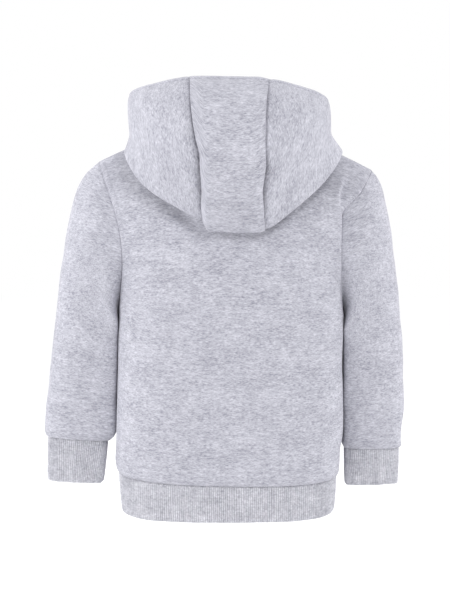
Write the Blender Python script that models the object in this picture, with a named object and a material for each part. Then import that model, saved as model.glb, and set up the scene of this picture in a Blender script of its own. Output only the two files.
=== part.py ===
"""A toddler's pullover hoodie, filled out as when worn, in metres with +Z up.

The front faces -Y and the wearer's left is +X. The origin is level with the two points where the
shoulder seams meet the neckline, near the middle of the neck opening. The garment is first drawn
as one skin, the outside of the cloth, and then cut into its panels along the seams.
"""

from collections import namedtuple
from math import pi

import bmesh
import bpy
import numpy as np

# Cloth
FLEECE_WALL = 0.0016
RIB_WALL = 0.0030
SEAM_GAP = 0.00065
RIB_PITCH = 0.0026
RIB_RELIEF = 0.0005

# How the garment hangs: its right side is a little lower, except at the hem
TILT = 0.031
TILT_FOOT = -0.420
TILT_RAMP = 0.070

# Sampling
FINE = 200
NECK_CELLS = 6
SHOULDER_CELLS = 6
YOKE_ROWS = 12
BODY_ROWS = 9
SLEEVE_ROWS = 15
HOOD_ROWS = 24
PANEL_SEAM_CELLS = 3

# Torso: sections from the hem seam up to the underarm
BODY_SQUARE = 2.7
BAND_SQUARE = 3.2
Section = namedtuple("Section", "z middle half back front dip")
BODY = (
    Section(-0.3785, 0.0005, 0.1240, 0.0665, 0.0665, 0.0040),
    Section(-0.3680, 0.0000, 0.1268, 0.0710, 0.0710, 0.0030),
    Section(-0.3450, -0.0005, 0.1272, 0.0745, 0.0745, 0.0010),
    Section(-0.3040, -0.0010, 0.1276, 0.0770, 0.0780, 0.0000),
    Section(-0.2500, -0.0025, 0.1255, 0.0780, 0.0810, 0.0000),
    Section(-0.1970, -0.0035, 0.1235, 0.0780, 0.0820, 0.0000),
)
BAND = (
    Section(-0.3788, 0.0005, 0.1228, 0.0655, 0.0655, 0.0040),
    Section(-0.4235, 0.0000, 0.1215, 0.0630, 0.0630, 0.0000),
)

# Neckline and shoulders
NECK_MIDDLE = -0.006
NECK_HALF = 0.063
NECK_SIDE_Y = -0.002
NECK_BACK = (0.046, -0.014)
NECK_FRONT = (-0.062, -0.056)
SHOULDER_ARCH = 0.0030
Profile = namedtuple("Profile", "y z")
CENTRE_BACK = (
    Profile(0.078, -0.197),
    Profile(0.0785, -0.150),
    Profile(0.0765, -0.110),
    Profile(0.0720, -0.075),
    Profile(0.0620, -0.040),
    Profile(*NECK_BACK),
)
CENTRE_FRONT = (
    Profile(-0.082, -0.197),
    Profile(-0.082, -0.150),
    Profile(-0.079, -0.110),
    Profile(-0.073, -0.080),
    Profile(*NECK_FRONT),
)
YOKE_ROLL = 4.0

# Sleeves: the outer and inner edge of each section, seen from the back, and its depth
SleeveRing = namedtuple(
    "SleeveRing",
    "outer_z left right inner_z inner_left inner_right mid_y depth scoop_left scoop_right",
)
SLEEVE = (
    SleeveRing(-0.0345, 0.1432, 0.1598, -0.1970, 0.1200, 0.1270, -0.003, 0.048, 0.0150, 0.0230),
    SleeveRing(-0.0500, 0.1590, 0.1705, -0.1995, 0.1234, 0.1300, -0.005, 0.049, 0.0080, 0.0110),
    SleeveRing(-0.0700, 0.1710, 0.1765, -0.2060, 0.1243, 0.1304, -0.009, 0.049, 0.0030, 0.0040),
    SleeveRing(-0.1000, 0.1785, 0.1822, -0.2150, 0.1244, 0.1302, -0.013, 0.048, 0.0010, 0.0010),
    SleeveRing(-0.1400, 0.1855, 0.1880, -0.2300, 0.1246, 0.1300, -0.017, 0.046, 0.0000, 0.0000),
    SleeveRing(-0.1900, 0.1925, 0.1940, -0.2480, 0.1252, 0.1300, -0.020, 0.044, 0.0000, 0.0000),
    SleeveRing(-0.2400, 0.1992, 0.1985, -0.2740, 0.1266, 0.1304, -0.022, 0.041, 0.0000, 0.0000),
    SleeveRing(-0.2900, 0.2046, 0.2008, -0.3050, 0.1284, 0.1310, -0.022, 0.036, 0.0000, 0.0000),
    SleeveRing(-0.3345, 0.2095, 0.1985, -0.3395, 0.1305, 0.1325, -0.022, 0.029, 0.0000, 0.0000),
    SleeveRing(-0.3475, 0.2060, 0.1965, -0.3500, 0.1365, 0.1342, -0.022, 0.023, 0.0000, 0.0000),
)
CUFF = (
    SleeveRing(-0.3479, 0.2050, 0.1955, -0.3504, 0.1380, 0.1345, -0.022, 0.0215, 0.0000, 0.0000),
    SleeveRing(-0.3955, 0.2050, 0.1950, -0.3970, 0.1432, 0.1360, -0.022, 0.0205, 0.0000, 0.0000),
)

# Hood: rings from the neck seam, down the back, round the fold and up to the face edge
HoodRing = namedtuple("HoodRing", "back_y back_z side_y side_z middle half vee seam")
HOOD = (
    HoodRing(0.046, -0.0140, -0.002, 0.0000, -0.0060, 0.0630, 2.0, 0.0380),
    HoodRing(0.050, 0.0000, -0.001, 0.0100, -0.0060, 0.0680, 2.0, 0.0370),
    HoodRing(0.057, 0.0060, 0.001, 0.0150, -0.0060, 0.0735, 2.0, 0.0360),
    HoodRing(0.068, -0.0020, 0.004, 0.0120, -0.0060, 0.0800, 1.9, 0.0350),
    HoodRing(0.079, -0.0280, 0.008, 0.0030, -0.0060, 0.0880, 1.6, 0.0340),
    HoodRing(0.087, -0.0650, 0.018, -0.0060, -0.0060, 0.0990, 1.3, 0.0340),
    HoodRing(0.093, -0.0970, 0.026, -0.0120, -0.0055, 0.1100, 1.1, 0.0345),
    HoodRing(0.100, -0.1075, 0.030, -0.0160, -0.0050, 0.1170, 1.1, 0.0345),
    HoodRing(0.110, -0.1065, 0.031, -0.0130, -0.0050, 0.1195, 1.1, 0.0345),
    HoodRing(0.120, -0.0940, 0.030, -0.0050, -0.0035, 0.1155, 1.1, 0.0345),
    HoodRing(0.135, -0.0620, 0.029, 0.0045, -0.0020, 0.1105, 1.2, 0.0350),
    HoodRing(0.145, -0.0240, 0.025, 0.0140, -0.0015, 0.1100, 1.4, 0.0370),
    HoodRing(0.139, 0.0090, 0.018, 0.0250, -0.0015, 0.1100, 1.5, 0.0400),
    HoodRing(0.115, 0.0380, 0.010, 0.0345, -0.0015, 0.1095, 1.6, 0.0410),
    HoodRing(0.086, 0.0545, 0.004, 0.0410, -0.0015, 0.1070, 1.6, 0.0415),
    HoodRing(0.068, 0.0570, -0.002, 0.0430, -0.0020, 0.1030, 1.6, 0.0415),
)
HOOD_FLAT = 0.28
HOOD_SQUARE = 2.2
HOOD_FRONT_EDGE = (-0.072, -0.030)
HOOD_FADE = np.array([2.4, 2.4, 2.8])
HOOD_SOFTEN = 60
HOOD_LIFT = 0.0045
HOOD_CREASE = 2
HOOD_FRONT_GAP = 0.0012
PINCH_DEPTH = 0.0022
PINCH_WIDTH = 0.008

HEATHER = (0.60, 0.60, 0.66, 1.0)
RIB_GREY = (0.57, 0.57, 0.63, 1.0)


def smooth_rows(table, count):
    """The table drawn out to count rows along a Catmull-Rom curve, as many between any two rows."""
    rows = np.array(table, float)
    ends = np.vstack([2 * rows[0] - rows[1], rows, 2 * rows[-1] - rows[-2]])
    at = np.linspace(0, len(rows) - 1, count)
    first = np.minimum(at.astype(int), len(rows) - 2)
    t = (at - first)[:, None]
    p, q, r, s = (ends[first + i] for i in range(4))
    return q + 0.5 * ((r - p) * t + (2 * p - 5 * q + 4 * r - s) * t**2 + (3 * q - p - 3 * r + s) * t**3)


def even_curve(points, count):
    """The polyline again, as count points that are equally far apart along it."""
    along = np.concatenate([[0], np.cumsum(np.linalg.norm(np.diff(points, axis=0), axis=1))])
    at = np.linspace(0, along[-1], count)
    return np.stack([np.interp(at, along, column) for column in points.T], axis=1)


def quarter(square, end=pi / 2):
    """Part of a quarter of a unit rounded box, from the middle of its back towards its side."""
    angle = np.linspace(0, end, FINE)
    return np.sin(angle) ** (2 / square), np.cos(angle).clip(0) ** (2 / square)


def hang(points):
    """The garment's crooked hang: the left goes up and the right down, fading out at the hem."""
    share = np.clip((points[..., 2] - TILT_FOOT) / TILT_RAMP, 0, 1)
    hung = points.copy()
    hung[..., 2] += TILT * points[..., 0] * share * share * (3 - 2 * share)
    return hung


# ---------------------------------------------------------------- the torso's skin


def body_half(section, side, back, count, square=BODY_SQUARE):
    """Half a torso section, from the middle of the back or front to the side seam."""
    across, deep = quarter(square)
    x = section.middle + side * section.half * across
    y = (section.back if back else -section.front) * deep
    z = section.z - section.dip * deep**2
    return even_curve(np.stack([x, y, z], axis=1), count)


def neckline_half(side, back):
    """Half the neckline, from its middle to the shoulder seam."""
    y_end, z_end = NECK_BACK if back else NECK_FRONT
    angle = np.linspace(0, pi / 2, FINE)
    x = NECK_MIDDLE + side * NECK_HALF * np.sin(angle)
    y = NECK_SIDE_Y + (y_end - NECK_SIDE_Y) * np.cos(angle)
    z = z_end * np.cos(angle) ** 1.5
    return even_curve(np.stack([x, y, z], axis=1), NECK_CELLS + 1)


def armhole_half(side, back, shares):
    """Half the armhole, at shares of its height from the underarm to the shoulder tip."""
    return sleeve_arc(SLEEVE[0], side, back, shares)


def shoulder_seam(side):
    """From the neckline to the shoulder tip, slightly arched."""
    neck = neckline_half(side, True)[-1]
    tip = armhole_half(side, True, np.array([1.0]))[0]
    share = np.linspace(0, 1, SHOULDER_CELLS + 1)[:, None]
    return neck + (tip - neck) * share + np.sin(pi * share) * [0, 0, SHOULDER_ARCH]


def yoke_arc(middle, edge, count):
    """A section that is cut short by the armhole, from the middle of the panel to the edge."""
    ratio = np.clip(edge[1] / middle[1], 0, 1)
    across, deep = quarter(BODY_SQUARE, np.arccos(ratio ** (BODY_SQUARE / 2)))
    drop = (1 - deep) / (1 - deep[-1])
    share = np.stack([across / across[-1], drop, np.linspace(0, 1, FINE)], axis=1)
    return even_curve(middle + (edge - middle) * share, count)


def yoke_half(side, back):
    """The panel above the underarm, from the chest to the neckline and shoulder seam."""
    shares = np.linspace(0, 1, YOKE_ROWS + 1)
    count = NECK_CELLS + SHOULDER_CELLS + 1
    bottom = body_half(BODY[-1], side, back, count)
    top = np.vstack([neckline_half(side, back), shoulder_seam(side)[1:]])
    profile = smooth_rows(CENTRE_BACK if back else CENTRE_FRONT, FINE)
    profile = even_curve(profile, YOKE_ROWS + 1)
    middle_x = BODY[-1].middle + (NECK_MIDDLE - BODY[-1].middle) * shares
    middle = np.column_stack([middle_x, profile])
    edge = armhole_half(side, back, shares)
    patch = np.array([yoke_arc(*ends, count) for ends in zip(middle, edge)])
    low = bottom - patch[0]
    low[-1] = 0
    high = top - patch[-1]
    fall = ((1 - shares) ** YOKE_ROLL)[:, None, None]
    rise = (shares**YOKE_ROLL)[:, None, None]
    return patch + fall * low + rise * high


def torso_panel(back):
    """The whole back or front: a grid of rows going up, with columns from right to left."""
    halves = []
    for side in (-1, 1):
        rows = smooth_rows(BODY, BODY_ROWS + 1)
        cells = NECK_CELLS + SHOULDER_CELLS
        lower = [body_half(Section(*row), side, back, cells + 1) for row in rows]
        halves.append(np.concatenate([np.array(lower[:-1]), yoke_half(side, back)]))
    right, left = halves
    return np.concatenate([right[:, ::-1], left[:, 1:]], axis=1)


# ---------------------------------------------------------------- the sleeves' skin


def sleeve_arc(ring, side, back, shares):
    """The back or front half of a sleeve section, at shares of its width from inner to outer edge."""
    outer = ring.left if side > 0 else ring.right
    inner = ring.inner_left if side > 0 else ring.inner_right
    scoop = ring.scoop_left if side > 0 else ring.scoop_right
    across = 2 * shares - 1
    sharp = np.where(across < 0, 1.6, 2.2)
    reach = np.clip(1 - np.abs(across) ** sharp, 0, 1) ** 0.75
    x = inner + (outer - inner) * shares - scoop * np.sin(pi * shares)
    y = ring.mid_y + (ring.depth if back else -ring.depth) * reach
    z = ring.inner_z + (ring.outer_z - ring.inner_z) * shares
    return np.stack([side * x, y, z], axis=1)


def round_arc(ring, side, back, shares):
    """The same half as a plain ellipse, for sections away from the armhole."""
    outer = ring.left if side > 0 else ring.right
    inner = ring.inner_left if side > 0 else ring.inner_right
    turn = (1 - np.cos(pi * shares)) / 2
    x = inner + (outer - inner) * turn
    y = ring.mid_y + (ring.depth if back else -ring.depth) * np.sin(pi * shares)
    z = ring.inner_z + (ring.outer_z - ring.inner_z) * turn
    return np.stack([side * x, y, z], axis=1)


def sleeve_ring(ring, side, count, roundness):
    """A whole section from the underarm, up the back to the outer edge and down the front."""
    shares = np.linspace(0, 1, count // 2 + 1)
    halves = []
    for back in (True, False):
        armhole = sleeve_arc(ring, side, back, shares)
        ellipse = round_arc(ring, side, back, shares)
        halves.append(armhole + (ellipse - armhole) * roundness)
    return np.concatenate([halves[0][:-1], halves[1][:0:-1]])


def sleeve_skin(side):
    rows = smooth_rows(SLEEVE, SLEEVE_ROWS + 1)
    roundness = np.clip(np.linspace(0, 1, len(rows)) * 3, 0, 1)
    rings = [
        sleeve_ring(SleeveRing(*row), side, 2 * YOKE_ROWS, share)
        for row, share in zip(rows, roundness)
    ]
    return np.array(rings)


# ---------------------------------------------------------------- the hood's skin


def hood_back(ring, side):
    """The back part of a hood ring, from its middle to its side."""
    across, deep = quarter(HOOD_SQUARE)
    slope = np.clip((across - HOOD_FLAT) / (1 - HOOD_FLAT), 0, 1) ** ring.vee
    x = ring.middle + side * ring.half * across
    y = ring.side_y + (ring.back_y - ring.side_y) * deep
    z = ring.side_z + (ring.back_z - ring.side_z) * (1 - slope)
    return np.stack([x, y, z], axis=1)


def soften(rows, passes):
    """The rows, each averaged with its neighbours again and again. The ends stay."""
    soft = rows.copy()
    for _ in range(passes):
        soft[1:-1] = (soft[:-2] + 2 * soft[1:-1] + soft[2:]) / 4
    return soft


def hood_fronts(sides, side):
    """The front part of each ring, from its side to the middle. The side's fold fades out there."""
    angle = np.linspace(0, pi / 2, FINE)[:, None]
    shares = np.linspace(0, 1, len(sides))[:, None]
    plain = sides[0] + (sides[-1] - sides[0]) * shares
    low = np.array([NECK_MIDDLE, *NECK_FRONT])
    high = np.array([NECK_MIDDLE, *HOOD_FRONT_EDGE])
    middle = low + (high - low) * shares + [side * HOOD_FRONT_GAP / 2, 0, 0]
    toward = np.hstack([1 - np.cos(angle), np.sin(angle), 1 - np.cos(angle) ** 1.5])
    fade = np.cos(angle) ** HOOD_FADE
    bends = sides - plain
    softs = soften(bends, HOOD_SOFTEN)
    lifts = HOOD_LIFT * np.minimum(shares[:, 0] * 5, 1)
    for start, end, bend, soft, lift in zip(plain, middle, bends, softs, lifts):
        fold = bend + (soft - bend) * np.sin(angle) ** 0.35
        curve = start + (end - start) * toward + fold * fade
        curve[:, 2] += lift * np.sin(2 * angle[:, 0])
        yield curve


def hood_half(side):
    """Half the hood: the columns before the panel seam, then those of the side panel."""
    rings = [HoodRing(*row) for row in smooth_rows(HOOD, HOOD_ROWS + 1)]
    backs = [hood_back(ring, side) for ring in rings]
    fronts = hood_fronts(np.array([back[-1] for back in backs]), side)
    grid = []
    for ring, back, front in zip(rings, backs, fronts):
        curve = np.concatenate([back, front[1:]])
        at_seam = int(np.argmax(side * (curve[:, 0] - ring.middle) >= ring.seam))
        centre = even_curve(curve[: at_seam + 1], 2 * PANEL_SEAM_CELLS + 1)
        rest = even_curve(curve[at_seam:], 2 * (2 * NECK_CELLS - PANEL_SEAM_CELLS) + 1)
        grid.append(np.concatenate([centre, rest[1:]]))
    grid = np.array(grid)
    grid[0, ::2] = np.concatenate([neckline_half(side, True), neckline_half(side, False)[-2::-1]])
    return between_even(grid)


def hood_skins():
    """The centre panel and the two side panels, with columns from right to left."""
    right, left = hood_half(-1), hood_half(1)
    seam = 2 * PANEL_SEAM_CELLS
    centre = np.concatenate([right[:, seam:0:-1], left[:, : seam + 1]], axis=1)
    return {"hood_centre": centre, "hood_right": right[:, : seam - 1 : -1], "hood_left": left[:, seam:]}


# ---------------------------------------------------------------- from skin to walls


def key(point):
    return tuple(np.round(point * 1e5).astype(int))


def own_normals(grid, closed):
    """The outward direction at each point of a grid."""
    ring = np.concatenate([grid, grid[:, :1]], axis=1) if closed else grid
    a, b, c, d = ring[:-1, :-1], ring[:-1, 1:], ring[1:, 1:], ring[1:, :-1]
    face = unit(np.cross(c - a, b - d))
    total = np.zeros_like(ring)
    for rows in (np.s_[:-1], np.s_[1:]):
        for columns in (np.s_[:-1], np.s_[1:]):
            total[rows, columns] += face
    if closed:
        total[:, 0] += total[:, -1]
        total = total[:, :-1]
    return unit(total)


def shared_normals(skins, closed):
    """The same for all grids. Where panels meet they share one direction, between their own."""
    own = {name: own_normals(grid, name in closed) for name, grid in skins.items()}
    meeting = {}
    for name, grid in skins.items():
        for point, normal in zip(grid.reshape(-1, 3), own[name].reshape(-1, 3)):
            found = meeting.setdefault(key(point), [])
            if all(normal @ other < 0.97 for other in found):
                found.append(normal)
    return {
        name: unit(
            np.array([sum(meeting[key(point)]) for point in grid.reshape(-1, 3)])
        ).reshape(grid.shape)
        for name, grid in skins.items()
    }


def inward(grid, closed):
    """Each edge line of the grid, with the directions into the cloth that are square to it."""
    lines = [(np.s_[0], np.s_[1]), (np.s_[-1], np.s_[-2])]
    if not closed:
        lines += [(np.s_[:, 0], np.s_[:, 1]), (np.s_[:, -1], np.s_[:, -2])]
    for edge, inner in lines:
        line = grid[edge]
        if closed:
            along = np.roll(line, -1, axis=0) - np.roll(line, 1, axis=0)
        else:
            along = np.gradient(line, axis=0)
        along = unit(along)
        step = grid[inner] - line
        yield edge, unit(step - (step * along).sum(axis=1, keepdims=True) * along)


def edge_steps(skins, closed):
    """The directions into the panels that meet at each edge point, added up."""
    total = {}
    for name, grid in skins.items():
        for edge, steps in inward(grid, name in closed):
            for point, step in zip(grid[edge], steps):
                total[key(point)] = total.get(key(point), 0) + step
    return total


def between_even(grid):
    """Puts the odd points of a hood panel's first row halfway between their neighbours, which the
    panels below also have."""
    grid[0, 1::2] = (grid[0, :-1:2] + grid[0, 2::2]) / 2
    return grid


def unit(vectors):
    return vectors / np.linalg.norm(vectors, axis=-1, keepdims=True)


def trim(grid, closed, steps):
    """The grid with its edges drawn in by half a seam gap, straight away from the neighbours."""
    cut = grid.copy()
    for edge, own in inward(grid, closed):
        others = np.array([steps[key(point)] for point in grid[edge]]) - own
        cut[edge] += unit(own - others) * SEAM_GAP / 2
    return cut


def new_object(name, points, faces, colour):
    """A mesh object with its own cloth, from points and faces."""
    mesh = bpy.data.meshes.new(name)
    builder = bmesh.new()
    corners = [builder.verts.new(point) for point in points]
    for face in faces:
        builder.faces.new([corners[i] for i in face])
    bmesh.ops.recalc_face_normals(builder, faces=builder.faces)
    builder.to_mesh(mesh)
    builder.free()
    mesh.shade_smooth()
    cloth = bpy.data.materials.new(name + "_cloth")
    cloth.use_nodes = True
    shader = cloth.node_tree.nodes["Principled BSDF"]
    shader.inputs["Base Color"].default_value = colour
    shader.inputs["Roughness"].default_value = 0.95
    shader.inputs["Metallic"].default_value = 0.0
    mesh.materials.append(cloth)
    made = bpy.data.objects.new(name, mesh)
    bpy.data.collections["toddler_hoodie"].objects.link(made)
    return made


def panel(name, outside, inside, closed, colour=HEATHER):
    """A wall of cloth: the outer grid, the inner grid and the rims that join them."""
    rows, columns = outside.shape[:2]
    count = rows * columns
    width = columns if closed else columns - 1
    faces = []
    for row in range(rows - 1):
        for column in range(width):
            a = row * columns + column
            b = row * columns + (column + 1) % columns
            c, d = b + columns, a + columns
            faces += [(a, b, c), (a, c, d), (a + count, c + count, b + count)]
            faces.append((a + count, d + count, c + count))
    loops = [list(range(columns)), list(range(count - columns, count))]
    if closed:
        loops = [loop + loop[:1] for loop in loops]
    else:
        loops += [list(range(0, count, columns)), list(range(columns - 1, count, columns))]
    for loop in loops:
        for a, b in zip(loop, loop[1:]):
            faces += [(a, b, b + count), (a, b + count, a + count)]
    points = np.concatenate([outside.reshape(-1, 3), inside.reshape(-1, 3)])
    return new_object(name, points, faces, colour)


def ribbed_tube(name, outside, inside, colour=RIB_GREY):
    """A band with a ribbed outside of many columns and a plain inside of a whole share of them."""
    many, few = outside.shape[1], inside.shape[1]
    each = many // few
    points = np.concatenate([outside.reshape(-1, 3), inside.reshape(-1, 3)])
    start = 2 * many
    faces = []
    for i in range(many):
        a, b = i, (i + 1) % many
        faces += [(a, b, b + many), (a, b + many, a + many)]
    for j in range(few):
        c, d = start + j, start + (j + 1) % few
        faces += [(c, d + few, d), (c, c + few, d + few)]
    for outer_row, inner_row in ((0, start), (many, start + few)):
        for i in range(many):
            nearest = inner_row + ((i + each // 2) // each) % few
            following = inner_row + ((i + 1 + each // 2) // each) % few
            a, b = outer_row + i, outer_row + (i + 1) % many
            faces.append((a, b, nearest))
            if following != nearest:
                faces.append((b, following, nearest))
    return new_object(name, points, faces, colour)


def ribbed_rings(rings, middle):
    """Closed rings of ribs, 2 points to a rib, and the plain rings inside them."""
    length = np.linalg.norm(np.diff(rings[0], axis=0, append=rings[0][:1]), axis=1).sum()
    inner_count = round(length / RIB_PITCH / 4)
    outer_count = 8 * inner_count
    outside, inside = [], []
    for ring in rings:
        loop = np.concatenate([ring, ring[:1]])
        for count, out, found in ((outer_count, 0.0, outside), (inner_count, -RIB_WALL, inside)):
            points = even_curve(loop, count + 1)[:-1]
            away = np.roll(points, -1, axis=0) - np.roll(points, 1, axis=0)
            normal = np.cross(away, [0, 0, 1.0])
            normal /= np.linalg.norm(normal, axis=1, keepdims=True)
            normal *= np.sign((normal * (points - middle)).sum(axis=1))[:, None]
            relief = np.full(count, out)
            if out == 0.0:
                relief[1::2] = -RIB_RELIEF
            found.append(points + normal * relief[:, None])
    return np.array(outside), np.array(inside)


# ---------------------------------------------------------------- the pieces


def pinched(skin, normals):
    """The hood with its panel seams drawn in, as the seam allowance pulls the cloth there."""
    centre, right, left = skin["hood_centre"], skin["hood_right"], skin["hood_left"]
    seams = {"left": centre[:, -1].copy(), "right": centre[:, 0].copy()}
    made = {}
    for name, grid in (("hood_centre", centre), ("hood_right", right), ("hood_left", left)):
        depth = np.zeros(grid.shape[:2])
        for seam in seams.values():
            gap = np.linalg.norm(grid - seam[:, None], axis=-1)
            depth = np.maximum(depth, np.exp(-((gap / PINCH_WIDTH) ** 2)))
        share = np.linspace(0, 1, len(grid))[:, None]
        along = np.clip((share - 0.3) * 8, 0, 1) * np.clip((1 - share) * 8, 0, 1)
        made[name] = grid - normals[name] * (depth * along * PINCH_DEPTH)[..., None]
    return made


def fleece_panels():
    skins = {
        "back": torso_panel(True),
        "front": torso_panel(False)[:, ::-1],
        "sleeve_left": sleeve_skin(1)[:, ::-1],
        "sleeve_right": sleeve_skin(-1),
        **hood_skins(),
    }
    closed = {"sleeve_left", "sleeve_right"}
    skins = {name: hang(grid) for name, grid in skins.items()}
    skins.update(pinched(skins, shared_normals(skins, closed)))
    normals = shared_normals(skins, closed)
    steps = edge_steps(skins, closed)
    for name, grid in skins.items():
        outside = trim(grid, name in closed, steps)
        if name.startswith("hood"):
            inside = outside - FLEECE_WALL * soften(normals[name], HOOD_CREASE)
            outside, inside = between_even(outside), between_even(inside)
        else:
            inside = outside - FLEECE_WALL * normals[name]
        panel(name, outside, inside, name in closed)


def hem_band():
    rings = []
    for section in BAND:
        halves = [
            body_half(section, side, back, FINE, BAND_SQUARE)
            for side, back in ((1, True), (1, False), (-1, False), (-1, True))
        ]
        loop = [halves[0], halves[1][::-1], halves[2], halves[3][::-1]]
        rings.append(hang(np.concatenate([part[:-1] for part in loop])))
    ribbed_tube("hem_band", *ribbed_rings(rings, np.array([0, 0, BAND[0].z])))


def cuff(side, name):
    rings = [hang(sleeve_ring(ring, side, FINE, 1.0)) for ring in CUFF]
    ribbed_tube(name, *ribbed_rings(rings, rings[0].mean(axis=0)))


def clear_scene():
    for old in list(bpy.data.objects):
        bpy.data.objects.remove(old)
    bpy.context.scene.collection.children.link(bpy.data.collections.new("toddler_hoodie"))


def main():
    clear_scene()
    fleece_panels()
    hem_band()
    cuff(1, "cuff_left")
    cuff(-1, "cuff_right")


main()
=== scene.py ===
"""A toddler's grey melange hoodie with its hood lying down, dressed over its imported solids.

Every panel is drawn again as thin cloth: the same skin as its solid, sampled finer, with seams that
roll in, stitches, creases and a turned hem on the hood. Lengths are metres and +Z is up. The back
faces +Y and the wearer's left is +X.
"""

from collections import namedtuple
from functools import cache
from math import cos, pi, radians, sin

import bpy
import numpy as np
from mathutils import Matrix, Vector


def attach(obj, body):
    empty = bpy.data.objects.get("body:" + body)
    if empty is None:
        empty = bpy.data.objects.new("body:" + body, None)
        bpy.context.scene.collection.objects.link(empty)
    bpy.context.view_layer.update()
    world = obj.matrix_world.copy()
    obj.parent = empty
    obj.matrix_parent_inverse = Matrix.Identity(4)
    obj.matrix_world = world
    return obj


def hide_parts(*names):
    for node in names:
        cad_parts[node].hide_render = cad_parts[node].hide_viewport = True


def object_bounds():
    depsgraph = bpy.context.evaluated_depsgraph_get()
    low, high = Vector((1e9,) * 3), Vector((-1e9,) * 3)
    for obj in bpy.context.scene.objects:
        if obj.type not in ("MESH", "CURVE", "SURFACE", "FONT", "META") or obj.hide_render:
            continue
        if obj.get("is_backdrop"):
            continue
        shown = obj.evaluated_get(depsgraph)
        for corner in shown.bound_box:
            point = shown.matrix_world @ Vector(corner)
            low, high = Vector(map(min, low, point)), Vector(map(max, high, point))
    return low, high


bl_info = {
    "name": "Toddler hoodie",
    "version": (1, 0, 0),
    "blender": (4, 5, 0),
    "location": "View3D > Sidebar > Hoodie",
    "description": "Builds the cloth, ribs and stitches of a small melange hoodie round its solids",
    "category": "Add Mesh",
}

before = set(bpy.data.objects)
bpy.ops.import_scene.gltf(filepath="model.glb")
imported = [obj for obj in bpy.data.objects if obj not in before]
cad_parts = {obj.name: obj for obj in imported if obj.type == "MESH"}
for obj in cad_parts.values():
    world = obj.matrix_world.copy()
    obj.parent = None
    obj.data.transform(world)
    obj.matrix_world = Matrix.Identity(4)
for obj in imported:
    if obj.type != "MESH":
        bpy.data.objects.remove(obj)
CAD_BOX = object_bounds()
MM = 0.001
# The wearer's sides, by the sign of X
LEFT, RIGHT = 1, -1
TORSO = ("back", "front")
SLEEVES = ("sleeve_left", "sleeve_right")
HOODS = ("hood_centre", "hood_left", "hood_right")

# ---- the cut, as in the solids
# fmt: off

# The garment hangs crooked: by this slope, which sets in above its foot
TILT = 0.031
TILT_FOOT = -0.420
TILT_RAMP = 0.070

# How finely curves and panels are drawn
FINE = 400
NECK_CELLS = 54
SHOULDER_CELLS = 36
PANEL_CELLS = NECK_CELLS + SHOULDER_CELLS
YOKE_ROWS = 60
BODY_ROWS = 72
SLEEVE_ROWS = 120
HOOD_ROWS = 150
PANEL_SEAM_CELLS = 24

# The power of a section's outline: 2 is an ellipse and more is squarer
BODY_SQUARE = 2.7
BAND_SQUARE = 3.2
Section = namedtuple("Section", "z middle half back front dip")
BODY = (
    Section(-0.3785, 0.0005, 0.1240, 0.0665, 0.0665, 0.0040),
    Section(-0.3680, 0.0000, 0.1268, 0.0710, 0.0710, 0.0030),
    Section(-0.3450, -0.0005, 0.1272, 0.0745, 0.0745, 0.0010),
    Section(-0.3040, -0.0010, 0.1276, 0.0770, 0.0780, 0.0000),
    Section(-0.2500, -0.0025, 0.1255, 0.0780, 0.0810, 0.0000),
    Section(-0.1970, -0.0035, 0.1235, 0.0780, 0.0820, 0.0000),
)
BAND = (
    Section(-0.3788, 0.0005, 0.1228, 0.0655, 0.0655, 0.0040),
    Section(-0.4190, 0.0000, 0.1200, 0.0630, 0.0630, 0.0045),
)

NECK_MIDDLE = -0.006
NECK_HALF = 0.063
NECK_SIDE_Y = -0.002
NECK_BACK = (0.046, -0.014)
NECK_FRONT = (-0.062, -0.056)
NECK_DIP = 1.5
SHOULDER_ARCH = 0.0030
# The middle of the back and of the front, from the chest up: (y, z)
CENTRE_BACK = (
    (0.078, -0.197), (0.0785, -0.150), (0.0765, -0.110), (0.0720, -0.075), (0.0620, -0.040), NECK_BACK,
)
CENTRE_FRONT = ((-0.082, -0.197), (-0.082, -0.150), (-0.079, -0.110), (-0.073, -0.080), NECK_FRONT)
YOKE_ROLL = 4.0

SleeveRing = namedtuple(
    "SleeveRing",
    "outer_z left right inner_z inner_left inner_right mid_y depth scoop_left scoop_right",
)
SLEEVE = (
    (-0.0345, 0.1432, 0.1598, -0.1970, 0.1200, 0.1270, -0.003, 0.048, 0.0150, 0.0230),
    (-0.0500, 0.1590, 0.1705, -0.1995, 0.1209, 0.1278, -0.005, 0.049, 0.0080, 0.0110),
    (-0.0700, 0.1710, 0.1765, -0.2060, 0.1217, 0.1279, -0.009, 0.049, 0.0030, 0.0040),
    (-0.1000, 0.1785, 0.1822, -0.2150, 0.1224, 0.1281, -0.013, 0.048, 0.0010, 0.0010),
    (-0.1400, 0.1855, 0.1880, -0.2300, 0.1233, 0.1284, -0.017, 0.046, 0.0000, 0.0000),
    (-0.1900, 0.1925, 0.1940, -0.2480, 0.1244, 0.1288, -0.020, 0.044, 0.0000, 0.0000),
    (-0.2400, 0.1992, 0.1985, -0.2740, 0.1257, 0.1289, -0.022, 0.041, 0.0000, 0.0000),
    (-0.2900, 0.2046, 0.2008, -0.3050, 0.1281, 0.1290, -0.022, 0.036, 0.0000, 0.0000),
    (-0.3345, 0.2095, 0.1985, -0.3395, 0.1286, 0.1308, -0.022, 0.029, 0.0000, 0.0000),
    (-0.3480, 0.2084, 0.1985, -0.3504, 0.1348, 0.1330, -0.022, 0.023, 0.0000, 0.0000),
)
CUFF = (
    (-0.3479, 0.2062, 0.1960, -0.3504, 0.1374, 0.1332, -0.022, 0.0215, 0.0000, 0.0000),
    (-0.3955, 0.2078, 0.1958, -0.3975, 0.1436, 0.1346, -0.022, 0.0140, 0.0000, 0.0000),
)

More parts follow.
